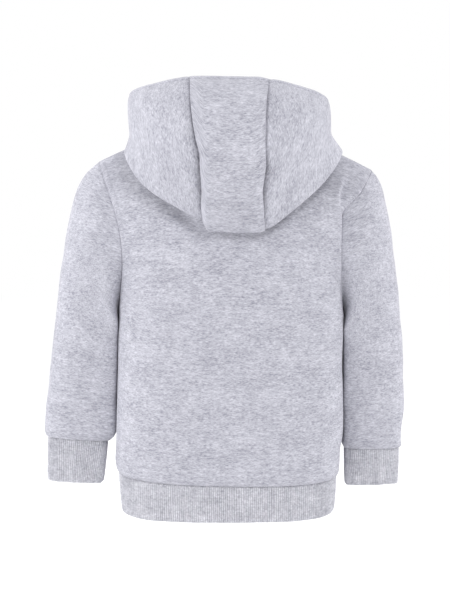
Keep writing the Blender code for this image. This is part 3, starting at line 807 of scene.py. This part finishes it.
# The hood's seams stray from this share of its way on
WANDER_FROM, WANDER_RAMP = 0.48, 0.08
# They turn in less by this much from this share on
EASED, EASE_FROM, EASE_RAMP = 0.8, 0.72, 0.14
# The armholes' topstitched band starts above the underarm and ends below the shoulder seam
YOKE_RAMP, SHOULDER_RAMP = 0.03, 0.02
# The height of the small gathers at ribs and armholes
PUCKER = 0.00032
# How round the dips beside the hood's seams are
DIP_ROUND = 2.4
# How far apart the panels' places in the knit are, so that none repeats another
KNIT_APART = 0.31
# How deep the cloth turns in at its first and last rows and at its sides, as shares of the full depth
Roll = namedtuple("Roll", "first last sides")
ROLLS = {
    "back": Roll(0.3, 0.5, 0.2),
    "front": Roll(0.3, 0.5, 0.2),
    "sleeve": Roll(0.2, 0.3, 0.2),
    "hood": Roll(0.9, 0.0, 0.7),
}


@cache
def skins():
    """The seven fleece panels' skins and the outward direction at each of their points."""
    made = {
        "back": torso_panel(True),
        "front": torso_panel(False)[:, ::-1],
        "sleeve_left": sleeve_skin(LEFT)[:, ::-1],
        "sleeve_right": sleeve_skin(RIGHT),
        **hood_skins(),
    }
    made = {name: hang(grid) for name, grid in made.items()}
    made.update(pinched(made, shared_normals(made)))
    made.update(wandered(made))
    made.update(nudged(made))
    return made, shared_normals(made)


def nudged(grids):
    """The torso and sleeves with the line of each side and armhole moved sideways."""
    edges = {LEFT: grids["back"][:, -1], RIGHT: grids["back"][:, 0]}
    made = {}
    for name in (*TORSO, *SLEEVES):
        made[name] = grids[name].copy()
        x, z = grids[name][..., 0], grids[name][..., 2]
        for side, edge in edges.items():
            shift = read_at(smooth_rows(NUDGES[side], FINE), z / MM)[0] * MM
            away = x - np.interp(z, edge[:, 2], edge[:, 0])
            made[name][..., 0] += shift * np.clip(1 - (away / NUDGE_REACH) ** 2, 0, 1) ** 2
    return made


def wandered(grids):
    """The hood's panels with their seams strayed a little to either side."""
    ends = {"left": grids["hood_left"][:, 0], "right": grids["hood_right"][:, -1]}
    made = {}
    for name in HOODS:
        made[name] = grids[name].copy()
        share = evenly(len(grids[name]))
        stray = smooth_step((share - WANDER_FROM) / WANDER_RAMP)
        for seam, end in ends.items():
            shift = read_at(SEAM_WANDERS[seam], share)[0] * stray * MM
            gap = np.linalg.norm(grids[name] - end[:, None], axis=-1)
            made[name][..., 0] += shift[:, None] * bell(gap, WANDER_REACH)
    return made


def edge_distance(grid, name):
    """How far each point lies from the nearest seam of its panel."""
    down, across = along_columns(grid), along_rows(grid)
    found = down if name in HOODS else np.minimum(down, down[-1] - down)
    return np.minimum(found, np.minimum(across, across[:, -1:] - across))


def seam_dip(name, at, distance):
    """How far the cloth beside a seam sinks, from where it is along the seam and away from it."""
    depth, width = read_at(SEAM_DIPS[name], at)
    return -MM * depth * np.exp(-((distance / MM / width) ** DIP_ROUND))


def cut_lines(grid, name):
    """Where each point lies on the flat cut, in mm: first along the knit's courses, then up."""
    across, up = along_rows(grid), along_columns(grid)
    across = across - across[:, grid.shape[1] // 2][:, None]
    if name in SLEEVES:
        up = up - up[-1]
    pair = (up, across) if name in ("hood_left", "hood_right") else (across, up)
    return np.stack([*pair, np.full(up.shape, KNIT_APART * SEEDS[name])], axis=-1) / MM


def creased(name):
    """A panel's outside with its creases: positions, normals, cut and share of the way up."""
    grid, normal = (part[name] for part in skins())
    if name in SLEEVES:
        grid, normal = (np.concatenate([part, part[:, :1]], axis=1) for part in (grid, normal))
    share = np.broadcast_to(evenly(len(grid))[:, None], grid.shape[:2])
    relief = crease_relief(CREASES[name], grid, normal)
    for extra, (size, height) in enumerate(DRIFTS):
        relief += drift(grid, SEEDS[name] + extra, size, height)
    relief *= smooth_step(edge_distance(grid, name) / SEAM_CALM)
    if name in HOODS:
        relief *= smooth_step((share - HOOD_CALM) / HOOD_RAMP)
    else:
        relief += crease_relief(SHOULDER_FOLDS, grid, normal)
        relief += lap_relief(grid, normal)
    place = grid + normal * relief[..., None]
    return np.concatenate([place, normal, cut_lines(grid, name), share[..., None]], axis=-1)


def with_edge_lines(name, stack):
    """The same with the extra lines beside all four edges."""
    stack = near_edge(stack, SEAM_LINES)
    stack = near_edge(stack, FACE_LINES if name in HOODS else SEAM_LINES, end=True)
    for end in (False, True):
        stack = near_edge(stack, ARMHOLE_LINES if name in TORSO else SEAM_LINES, axis=1, end=end)
    return stack


@cache
def finished(name):
    """(positions, normals, cut, share of the way up) of a panel's outside, creased and sewn."""
    sizes = bpy.context.scene.hoodie_sizes
    stack = with_edge_lines(name, creased(name))
    place, normal, share = stack[..., :3], unit(stack[..., 3:6]), stack[..., 9]
    down, across = along_columns(place), along_rows(place)
    rest, beyond = down[-1] - down, across[:, -1:] - across
    roll, side = ROLLS[name.split("_")[0]], np.minimum(across, beyond)
    sides = roll.sides
    if name in HOODS:
        sides = sides * (1 - EASED * smooth_step((share - EASE_FROM) / EASE_RAMP))
    rolls = ((down, roll.first), (rest, roll.last), (side, sides))
    depth, width = sizes.roll_depth, sizes.roll_width
    relief = np.minimum.reduce([seam_roll(far, part * depth, width) for far, part in rolls])
    if name in HOODS:
        relief = relief + face_hem_relief(rest, sizes)
    if name in SEAM_DIPS:
        seam = smooth_step((share - HOOD_CALM) / DIP_RAMP)
        relief = relief + seam * seam_dip(name, share, across if name == "hood_left" else beyond)
    if name in TORSO:
        yoke = smooth_step((share - ARMHOLE_SHARE) / YOKE_RAMP)
        yoke = yoke * smooth_step((1 - share) / SHOULDER_RAMP)
        relief = relief + yoke * armhole_relief(side, sizes)
    relief = relief + puckers(name, place, down, rest)
    return place + normal * relief[..., None], normal, stack[..., 6:9], share


def face_hem_relief(rest, sizes):
    """The doubled edge stands out, and the row of stitches that holds it sinks in."""
    doubled = HEM_LIFT * smooth_step((sizes.face_hem - rest) / STEP_WIDTH + 0.5)
    groove = -HEM_GROOVE * bell(rest - sizes.face_hem, GROOVE_WIDTH)
    edge = -HEM_ROUND * (1 - np.clip(rest / STEP_WIDTH, 0, 1)) ** 2
    return doubled + groove + edge


def armhole_relief(down, sizes):
    """The seam allowance lifts a band of cloth between the two rows of topstitching."""
    needles = (FIRST_NEEDLE, FIRST_NEEDLE + sizes.twin_gap)
    first, last = needles
    rise = smooth_step((down - first) / STEP_WIDTH) * smooth_step((last - down) / STEP_WIDTH)
    grooves = sum(bell(down - at, GROOVE_WIDTH) for at in needles)
    return ARMHOLE_LIFT * rise - ARMHOLE_GROOVE * grooves


def gathers(distance, reach, start):
    """How strong gathers are at this distance from the seam that draws the cloth in."""
    return np.exp(-distance / reach) * smooth_step(distance / start)


def puckers(name, place, down, rest):
    """Small gathers where the cloth is sewn to the firmer ribs or to the armhole."""
    if name in HOODS:
        return 0
    # An uneven wave along the seam
    around = along_rows(place) / MM
    wave = np.sin(around * 0.83 + 2.1 * np.sin(around * 0.17)) + 0.6 * np.sin(around * 0.41 + 1.0)
    if name in TORSO:
        return PUCKER * wave * gathers(down, reach=0.010, start=0.003)
    cuff = gathers(rest, reach=0.012, start=0.003)
    return PUCKER * wave * (cuff + 0.6 * gathers(down, reach=0.009, start=0.004))


# ---- meshes


def link(name, data, at=(0.0, 0.0, 0.0)):
    """A new object of the scene with this data."""
    thing = bpy.data.objects.new(name, data)
    thing.location = at
    bpy.context.scene.collection.objects.link(thing)
    return thing


def add_mesh(name, points, quads, cut=None, inner_quads=(), groove=None):
    """A smooth mesh object on the hoodie's body, with its place on the cut kept for the knit."""
    mesh = bpy.data.meshes.new(name)
    faces = [tuple(face) for face in (*quads, *inner_quads)]
    mesh.from_pydata(points.reshape(-1, 3).tolist(), [], faces)
    mesh.polygons.foreach_set("use_smooth", [True] * len(faces))
    mesh.polygons.foreach_set("material_index", [0] * len(quads) + [1] * len(inner_quads))
    kept = (("cut_mm", "FLOAT_VECTOR", "vector", cut), ("groove", "FLOAT", "value", groove))
    for label, kind, field, values in kept:
        if values is not None:
            layer = mesh.attributes.new(label, kind, "POINT")
            layer.data.foreach_set(field, values.reshape(-1).astype(np.float32))
    mesh.update()
    piece = link(name, mesh)
    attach(piece, "root")
    return piece


def grid_quads(rows, columns, start=0, flip=False, wrap=False):
    """The faces of a grid of points, counter-clockwise seen from outside."""
    width = columns if wrap else columns - 1
    row, column = np.meshgrid(np.arange(rows - 1), np.arange(width), indexing="ij")
    a = start + row * columns + column
    b = start + row * columns + (column + 1) % columns
    faces = np.stack([a, b, b + columns, a + columns], axis=-1).reshape(-1, 4)
    return faces[:, ::-1] if flip else faces


def cloth_shell(name, wall):
    """A panel as thin cloth: its outside, its brushed inside and the rims between them."""
    place, normal, cut, _ = finished(name)
    rows, columns = place.shape[:2]
    count = rows * columns
    inward = unit(soften(soften(normal, 3).transpose(1, 0, 2), 3).transpose(1, 0, 2))
    points, cuts = np.concatenate([place, place - inward * wall]), np.concatenate([cut, cut])
    outside, inside = grid_quads(rows, columns), grid_quads(rows, columns, count, flip=True)
    index = np.arange(count).reshape(rows, columns)
    rims = []
    for line in (index[0, ::-1], index[-1], index[:, 0], index[::-1, -1]):
        a, b = line[:-1], line[1:]
        rims.append(np.stack([a, b, b + count, a + count], axis=1))
    return add_mesh(f"{name}_cloth", points, np.concatenate([outside, *rims]), cuts, inside)


# What shows of each fleece panel, laid flat: the box it is cut from and its own area
Cut = namedtuple("Cut", "width length area")


# The rib's section from its seam, down the outside, round the fold and up the inside: (how far down,
# how far out from the band's own line as a share of its wall, how ribbed)
# fmt: off
RIB_SECTION = (
    (0.000, -0.35, 0.2), (0.012, -0.16, 0.6), (0.035, -0.05, 1.0), (0.120, 0.05, 1.0),
    (0.300, 0.12, 1.0), (0.500, 0.15, 1.0), (0.700, 0.12, 1.0), (0.880, 0.02, 1.0),
    (0.960, -0.06, 1.0), (0.985, -0.18, 0.7), (0.998, -0.38, 0.3), (1.000, -0.55, 0.3),
    (0.996, -0.72, 0.3), (0.975, -0.92, 0.7), (0.940, -1.00, 1.0), (0.500, -1.00, 1.0),
    (0.040, -1.00, 1.0), (0.000, -0.90, 0.3),
)
# fmt: on
# Beyond this point of the section the ribs stand in instead of out
FOLD_OUT = -0.55
POINTS_A_RIB = 8
# The power that makes a rib fuller than a plain wave, and how far apart the tubes' places in the
# knit are
RIB_FULL = 0.8
RIB_KNIT_APART = 0.01


def ribbed_tube(name, rings, seed, material):
    """A band of 1x1 rib, folded double at its free edge, with fully rounded ribs."""
    sizes = bpy.context.scene.hoodie_sizes
    rings = [np.concatenate([ring, ring[:1]]) for ring in rings]
    girth = float(lengths(rings[0])[-1])
    ribs = round(girth / sizes.rib_pitch)
    count = ribs * POINTS_A_RIB
    around = np.arange(count) / count

    def wave(times, phase=0.0):
        return np.sin(2 * pi * times * around + phase)

    # The ribs stray along their seam, stand out unevenly and hang in slight waves
    uneven = 0.0016 * wave(5, seed) + 0.0009 * wave(17, 2 * seed)
    lines = []
    for ring in rings:
        along = lengths(ring)
        lines.append(sample(ring, along, (around + uneven) % 1 * along[-1]))
    top, bottom = lines
    ahead = np.roll(top, -1, axis=0) - np.roll(top, 1, axis=0)
    normal = unit(np.cross(ahead, [0, 0, 1.0]))
    normal *= np.sign((normal * (top - top.mean(axis=0))).sum(axis=1))[:, None]
    rib = (0.5 + 0.5 * np.cos(2 * pi * ribs * around)) ** RIB_FULL
    strength = 1 + 0.15 * wave(11, seed) + 0.1 * wave(37)
    tall = float(np.linalg.norm(bottom - top, axis=1).mean())
    wavy = 0.0005 * wave(7, seed) + 0.0004 * wave(13, 3)
    rows, cut, groove = [], [], []
    for down, out, ribbed in RIB_SECTION:
        lift = (rib - 1) * sizes.rib_height * ribbed * strength * (-1 if out < FOLD_OUT else 1)
        lift = lift + out * sizes.rib_wall + wavy * down
        rows.append(top + (bottom - top) * down + normal * lift[:, None])
        flat = [around * girth, np.full(count, -down * tall), np.full(count, RIB_KNIT_APART * seed)]
        cut.append(np.stack(flat, axis=1) / MM)
        # How deep in a groove each point lies, which sets the painted shade there
        groove.append((1 - rib) * ribbed)
    rows = np.array(rows)
    ring = np.arange(count)
    after, last = (ring + 1) % count, (len(rows) - 1) * count
    lid = np.stack([last + ring, last + after, after, ring], axis=1)
    quads = np.concatenate([grid_quads(len(rows), count, wrap=True), lid])
    if np.cross(rows[4, 1] - rows[4, 0], rows[5, 0] - rows[4, 0]) @ normal[0] < 0:
        quads = quads[:, ::-1]
    piece = add_mesh(name + "_rib", rows, quads, np.array(cut), groove=np.array(groove))
    piece.data.materials.append(material)
    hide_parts(name)


# ---- stitches

# A stitch from end to end: (share of its reach, width and height as shares of the thread's)
STITCH = (
    (-1.0, 0.10, -0.9), (-0.8, 0.62, -0.1), (-0.3, 1.0, 0.5), (0.3, 1.0, 0.5), (0.8, 0.62, -0.1),
    (1.0, 0.10, -0.9),
)  # fmt: skip
STITCH_SIDES = 6
# Half a stitch's reach as a share of its length, and how far stitches stray from their even places
STITCH_REACH = 0.42
STITCH_STRAY = 0.06
# The armholes' topstitching runs from this share of a panel's side to this one
TOPSTITCH_FROM, TOPSTITCH_TO = ARMHOLE_SHARE + 0.015, 0.99


def line_on(name, distance, axis=0, end=False):
    """(points, normals, shares) of the line at a distance from one edge of a finished panel."""
    place, normal, _, share = finished(name)
    stack = np.concatenate([place, normal, share[..., None]], axis=-1)
    line = near_edge(stack, (distance,), axis=axis, end=end).take(-1 if end else 0, axis=axis)
    return line[:, :3], unit(line[:, 3:6]), line[:, 6]


def armhole_line(name, distance, end):
    """The same along an armhole, which is the upper part of a panel's side."""
    points, normals, share = line_on(name, distance, axis=1, end=end)
    upper = (share > TOPSTITCH_FROM) & (share < TOPSTITCH_TO)
    return points[upper], normals[upper]


def stitch_row(points, normals, seed):
    """Small rounded stitches along a line of cloth, each sunk at its ends."""
    sizes = bpy.context.scene.hoodie_sizes
    along = lengths(points)
    count = max(int(along[-1] / sizes.stitch), 2)
    random = np.random.default_rng(seed)
    stray = random.uniform(-STITCH_STRAY, STITCH_STRAY, count)
    middles = (np.arange(count) + 0.5 + stray) * along[-1] / count
    shares, width, height = np.transpose(STITCH)
    width, height = width * sizes.thread / 2, height * sizes.thread / 2
    at = middles[:, None] + shares * (sizes.stitch * STITCH_REACH)
    where, up = sample(points, along, at), unit(sample(normals, along, at))
    beside = unit(np.cross(unit(np.gradient(where, axis=1)), up))
    centre = where + up * height[:, None]
    angle = np.arange(STITCH_SIDES) * 2 * pi / STITCH_SIDES
    turns = ((beside, np.cos(angle)), (up, np.sin(angle)))
    ring = centre[:, :, None] + sum(
        way[:, :, None] * (turn * width[:, None])[None, :, :, None] for way, turn in turns
    )
    rings = len(STITCH)
    size = rings * STITCH_SIDES
    quads = [grid_quads(rings, STITCH_SIDES, i * size, wrap=True) for i in range(count)]
    caps = [tuple(range(i * size + STITCH_SIDES - 1, i * size - 1, -1)) for i in range(count)]
    caps += [tuple(range((i + 1) * size - STITCH_SIDES, (i + 1) * size)) for i in range(count)]
    return ring.reshape(-1, 3), np.concatenate(quads), caps


def stitched(name, rows):
    """All of these rows of stitches as one piece."""
    points, faces, start = [], [], 0
    for seed, row in enumerate(rows):
        ring, quads, caps = stitch_row(*row, seed)
        points.append(ring)
        faces += (quads + start).tolist() + [tuple(i + start for i in cap) for cap in caps]
        start += len(ring)
    add_mesh(name, np.concatenate(points), faces).data.materials.append(sewing_thread())


# ---- materials


def add_node(tree, kind, values=None, links=None, **settings):
    """A node with its settings, its unlinked sockets' values and its links."""
    node = tree.nodes.new(kind)
    for name, value in settings.items():
        setattr(node, name, value)
    for socket, value in (values or {}).items():
        node.inputs[socket].default_value = value
    for socket, source in (links or {}).items():
        tree.links.new(source, node.inputs[socket])
    return node


def new_material(name, **values):
    """A material with one Principled shader, and its tree."""
    material = bpy.data.materials.new(name)
    material.use_nodes = True
    shader = material.node_tree.nodes["Principled BSDF"]
    for socket, value in values.items():
        shader.inputs[socket.replace("_", " ")].default_value = value
    return material, material.node_tree, shader


def shade_of(name):
    """One of the panel's colours."""
    return tuple(getattr(bpy.context.scene.hoodie_colours, name))


def attribute(tree, name, output):
    return add_node(tree, "ShaderNodeAttribute", attribute_name=name).outputs[output]


def calculate(tree, operation, values, links):
    return add_node(tree, "ShaderNodeMath", values, links, operation=operation).outputs[0]


def mixed(tree, factor, first, second):
    """The first colour, turned to the second, plain one by the factor."""
    links = {"Factor": factor, "A": first}
    return add_node(tree, "ShaderNodeMix", {"B": second}, links, data_type="RGBA").outputs["Result"]


def bumped(tree, shader, height, strength, distance):
    """Gives the shader bumps of this height."""
    values = {"Strength": strength, "Distance": distance}
    bump = add_node(tree, "ShaderNodeBump", values, {"Height": height})
    tree.links.new(bump.outputs["Normal"], shader.inputs["Normal"])


def grain(tree, cut, course, wale, detail=2.0, rough=0.6):
    """Noise stretched to course by wale mm on the flat cut."""
    stretch = {1: (1 / course, 1 / wale, 1.0)}
    scaled = add_node(tree, "ShaderNodeVectorMath", stretch, {0: cut}, operation="MULTIPLY").outputs[0]
    values = {"Scale": 1.0, "Detail": detail, "Roughness": rough}
    return add_node(tree, "ShaderNodeTexNoise", values, {"Vector": scaled}).outputs["Fac"]


def weigh(tree, first, second, share):
    """first plus share of second, less half of that share, so that the mean stays."""
    scaled = calculate(tree, "MULTIPLY_ADD", {1: share, 2: -share / 2}, {0: second})
    return calculate(tree, "ADD", {}, {0: first, 1: scaled})


def ramp_to(tree, factor, stops):
    """A colour ramp with these (position, colour) stops."""
    ramp = add_node(tree, "ShaderNodeValToRGB", {}, {"Fac": factor})
    elements = ramp.color_ramp.elements
    for index, (at, shade) in enumerate(stops):
        element = elements[index] if index < 2 else elements.new(at)
        element.position = at
        element.color = shade
    return ramp.outputs["Color"]


def between(low, high, share):
    return tuple(a + (b - a) * share for a, b in zip(low, high))


@cache
def melange(name, course, wale, groove_back_and_painted_shade=0.0, lift=0.0):
    """Cotton jersey face of sweatshirt fleece, spun from white and grey fibres: short uneven
    streaks of both along the knit's courses, no gloss, and a soft bright nap at grazing angles.
    The grooves of a rib are darker: partly the knit's back and partly painted shade for the shadow deep
    in the grooves. The rest is paler by lift."""
    material, tree, shader = new_material(
        name,
        Roughness=0.95,
        Metallic=0.0,
        IOR=1.46,
        Specular_IOR_Level=0.25,
        Sheen_Weight=0.15,
        Sheen_Roughness=0.55,
        Sheen_Tint=(0.96, 0.96, 1.0, 1.0),
    )
    cut = attribute(tree, "cut_mm", "Vector")
    streaks = grain(tree, cut, course, wale, 3.0, 0.65)
    clouds = grain(tree, cut, course * 2.6, wale * 3.2, 2.0)
    patches = grain(tree, cut, 34.0, 22.0, 1.0)
    value = weigh(tree, weigh(tree, streaks, clouds, 0.55), patches, 0.25)
    pale = between(shade_of("pale"), (1, 1, 1, 1), lift)
    dark = between(shade_of("dark"), pale, lift)
    shade = ramp_to(tree, value, ((0.26, dark), (0.50, between(dark, pale, 0.5)), (0.74, pale)))
    # A few dark fibres lie on top
    flecks = grain(tree, cut, course * 0.5, wale * 0.9, 1.0)
    fleck = ramp_to(tree, flecks, ((0.74, (0, 0, 0, 1)), (0.80, (1, 1, 1, 1))))
    shade = mixed(tree, fleck, shade, between(dark, pale, 0.05))
    # Painted shade: the rib's grooves are darkened towards black, partly for the knit's back and partly
    # for the shadow that falls in the grooves
    if groove_back_and_painted_shade:
        groove = attribute(tree, "groove", "Fac")
        deep = calculate(tree, "MULTIPLY", {1: groove_back_and_painted_shade}, {0: groove})
        shade = mixed(tree, deep, shade, between(dark, (0, 0, 0, 1), 0.3))
    tree.links.new(shade, shader.inputs["Base Color"])
    # Jersey loops are about 0.9 mm apart. They are drawn 1.4 mm apart, to show at all
    loops = grain(tree, cut, 1.4, 1.0, 2.0, 0.7)
    bumped(tree, shader, weigh(tree, loops, streaks, 0.6), 0.55, 0.0005)
    return material


@cache
def brushed_inside():
    """The fleece's back, teased into a short dense nap: paler, and without streaks."""
    material, tree, shader = new_material(
        "brushed cotton fleece back", Roughness=1.0, IOR=1.46, Specular_IOR_Level=0.15, Sheen_Weight=0.5
    )
    nap = grain(tree, attribute(tree, "cut_mm", "Vector"), 2.2, 2.0, 4.0, 0.7)
    inside = shade_of("inside")
    shade = ramp_to(tree, nap, ((0.3, between(inside, shade_of("dark"), 0.35)), (0.7, inside)))
    tree.links.new(shade, shader.inputs["Base Color"])
    bumped(tree, shader, nap, 0.6, 0.0008)
    return material


@cache
def sewing_thread():
    """Spun polyester sewing thread: matt, a shade lighter than the cloth."""
    material, tree, shader = new_material(
        "spun polyester thread", Roughness=0.7, IOR=1.5, Specular_IOR_Level=0.35, Sheen_Weight=0.2
    )
    where = add_node(tree, "ShaderNodeTexCoord").outputs["Object"]
    # The thread's two plies, about 0.3 mm a turn, drawn at 0.6 mm
    noise = add_node(tree, "ShaderNodeTexNoise", {"Scale": 1600.0, "Detail": 1.0}, {"Vector": where})
    thread = shade_of("thread")
    stops = ((0.35, between(thread, shade_of("dark"), 0.3)), (0.65, thread))
    shade = ramp_to(tree, noise.outputs["Fac"], stops)
    tree.links.new(shade, shader.inputs["Base Color"])
    return material


def studio_white():
    """Matt white paper sweep."""
    material, _, shader = new_material("matt white paper", Roughness=1.0, Specular_IOR_Level=0.0)
    shader.inputs["Base Color"].default_value = shade_of("floor")
    return material


# ---- operators


class FleeceStep:
    """Builds fleece panels, each with its outside and its brushed inside."""

    panels = ()

    def execute(self, context):
        for name in self.panels:
            piece = cloth_shell(name, context.scene.hoodie_sizes.fleece)
            piece.data.materials.append(melange("cotton melange fleece, courses across", 3.4, 1.0))
            piece.data.materials.append(brushed_inside())
            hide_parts(name)
        return {"FINISHED"}


class MakeTorso(FleeceStep, bpy.types.Operator):
    """Builds the front and back panels"""

    bl_idname = "hoodie.torso"
    bl_label = "Front and back"
    panels = TORSO


class MakeSleeves(FleeceStep, bpy.types.Operator):
    """Builds both set-in sleeves"""

    bl_idname = "hoodie.sleeves"
    bl_label = "Sleeves"
    panels = SLEEVES


class MakeHood(FleeceStep, bpy.types.Operator):
    """Builds the hood's three panels with their turned face edge"""

    bl_idname = "hoodie.hood"
    bl_label = "Hood"
    panels = HOODS


class MakeRibs(bpy.types.Operator):
    """Builds the ribbed hem band and cuffs"""

    bl_idname = "hoodie.ribs"
    bl_label = "Ribs"

    def execute(self, context):
        # 0.40 darkens the rib's grooves: partly the knit's back, partly painted shade
        knit = melange("cotton melange 1x1 rib", 3.0, 2.0, 0.40, 0.22)
        rings = []
        for section, square in zip(BAND, (BODY_SQUARE, BAND_SQUARE)):
            quarters = ((LEFT, True, 1), (LEFT, False, -1), (RIGHT, False, 1), (RIGHT, True, -1))
            loop = [
                body_half(section, side, back, FINE, square)[::way][:-1] for side, back, way in quarters
            ]
            rings.append(hang(np.concatenate(loop)))
        ribbed_tube("hem_band", rings, 1, knit)
        for side, name in ((LEFT, "cuff_left"), (RIGHT, "cuff_right")):
            rings = [hang(sleeve_ring(SleeveRing(*row), side, FINE, 1.0)) for row in CUFF]
            ribbed_tube(name, rings, 2 + side, knit)
        return {"FINISHED"}


class MakeStitches(bpy.types.Operator):
    """Sews the twin-needle rows at the armholes and the row that holds the hood's face hem"""

    bl_idname = "hoodie.stitches"
    bl_label = "Stitches"

    def execute(self, context):
        sizes = context.scene.hoodie_sizes
        armholes = [
            armhole_line(name, FIRST_NEEDLE + gap, end)
            for name in TORSO
            for end in (False, True)
            for gap in (0.0, sizes.twin_gap)
        ]
        stitched("armhole_topstitch", armholes)
        hem = [line_on(name, sizes.face_hem, end=True)[:2] for name in HOODS]
        stitched("hood_hem_stitch", hem)
        return {"FINISHED"}


class MakeStage(bpy.types.Operator):
    """Sets the floor, the soft studio lights and the camera"""

    bl_idname = "hoodie.stage"
    bl_label = "Stage"

    def execute(self, context):
        add_floor()
        for light in LIGHTS:
            add_light(light)
        add_world()
        add_camera()
        return {"FINISHED"}


# ---- stage

FLOOR_Z, FLOOR_HALF = -0.70, 6.0
Light = namedtuple("Light", "name x y z size watts")
LIGHTS = (
    Light("key softbox", -0.45, 1.5, 1.0, 0.35, 7.5),
    Light("fill softbox", 1.4, 1.1, 0.7, 1.2, 8.0),
    Light("left rim", 1.5, -0.2, 0.2, 1.0, 9.6),
    Light("right rim", -1.5, -0.2, 0.2, 1.0, 8.2),
    Light("front fill", 0.3, -1.8, 0.8, 1.6, 11.0),
)
CAMERA_TARGET = (0.00336, 0.0, -0.185)
CAMERA_DISTANCE = 1.5
CAMERA_RISE = radians(5)
CAMERA_LENS = 80.36


def add_floor():
    mesh = bpy.data.meshes.new("floor")
    corners = ((-1, -1), (1, -1), (1, 1), (-1, 1))
    mesh.from_pydata([(x * FLOOR_HALF, y * FLOOR_HALF, FLOOR_Z) for x, y in corners], [], [range(4)])
    mesh.materials.append(studio_white())
    link("floor", mesh)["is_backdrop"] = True


def aim(thing, target):
    """Turns a light or camera to look at a point."""
    x, y, z = np.array(thing.location) - np.array(target)
    thing.rotation_euler = (float(np.arctan2(np.hypot(x, y), z)), 0.0, float(np.arctan2(x, -y)))


def add_light(row):
    data = bpy.data.lights.new(row.name, "AREA")
    data.energy = row.watts
    data.size = row.size
    aim(link(row.name, data, (row.x, row.y, row.z)), CAMERA_TARGET)


def add_world():
    world = bpy.data.worlds.new("white studio")
    world.use_nodes = True
    background = world.node_tree.nodes["Background"]
    background.inputs["Color"].default_value = (1.0, 1.0, 1.0, 1.0)
    background.inputs["Strength"].default_value = 1.0
    bpy.context.scene.world = world
    bpy.context.scene.view_settings.view_transform = "Standard"


def add_camera():
    data = bpy.data.cameras.new("camera")
    data.lens = CAMERA_LENS
    data.sensor_width = 36.0
    x, y, z = CAMERA_TARGET
    y, z = y + CAMERA_DISTANCE * cos(CAMERA_RISE), z + CAMERA_DISTANCE * sin(CAMERA_RISE)
    camera = link("camera", data, (x, y, z))
    aim(camera, CAMERA_TARGET)
    bpy.context.scene.camera = camera


# ---- panel and registration


class HoodiePanel(bpy.types.Panel):
    """Lists the hoodie's sizes, colours and pieces in the 3D view's sidebar"""

    bl_idname = "VIEW3D_PT_hoodie"
    bl_label = "Toddler hoodie"
    bl_space_type = "VIEW_3D"
    bl_region_type = "UI"
    bl_category = "Hoodie"

    def draw(self, context):
        for group in (context.scene.hoodie_sizes, context.scene.hoodie_colours):
            for name in group.__annotations__:
                self.layout.prop(group, name)
        for operator in OPERATORS:
            self.layout.operator(operator.bl_idname)


OPERATORS = (MakeTorso, MakeSleeves, MakeHood, MakeRibs, MakeStitches, MakeStage)
CLASSES = (HoodieSizes, HoodieColours, *OPERATORS, HoodiePanel)


def register():
    for kind in CLASSES:
        bpy.utils.register_class(kind)
    bpy.types.Scene.hoodie_sizes = bpy.props.PointerProperty(type=HoodieSizes)
    bpy.types.Scene.hoodie_colours = bpy.props.PointerProperty(type=HoodieColours)


def unregister():
    del bpy.types.Scene.hoodie_colours
    del bpy.types.Scene.hoodie_sizes
    for kind in reversed(CLASSES):
        bpy.utils.unregister_class(kind)


def write_sizes():
    boxes = {"cad": CAD_BOX, "visual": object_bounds()}
    {name: [list(corner) for corner in box] for name, box in boxes.items()}


def main():
    register()
    bpy.ops.hoodie.torso()
    bpy.ops.hoodie.sleeves()
    bpy.ops.hoodie.hood()
    bpy.ops.hoodie.ribs()
    bpy.ops.hoodie.stitches()
    bpy.ops.hoodie.stage()
    write_sizes()


if __name__ == "__main__":
    main()
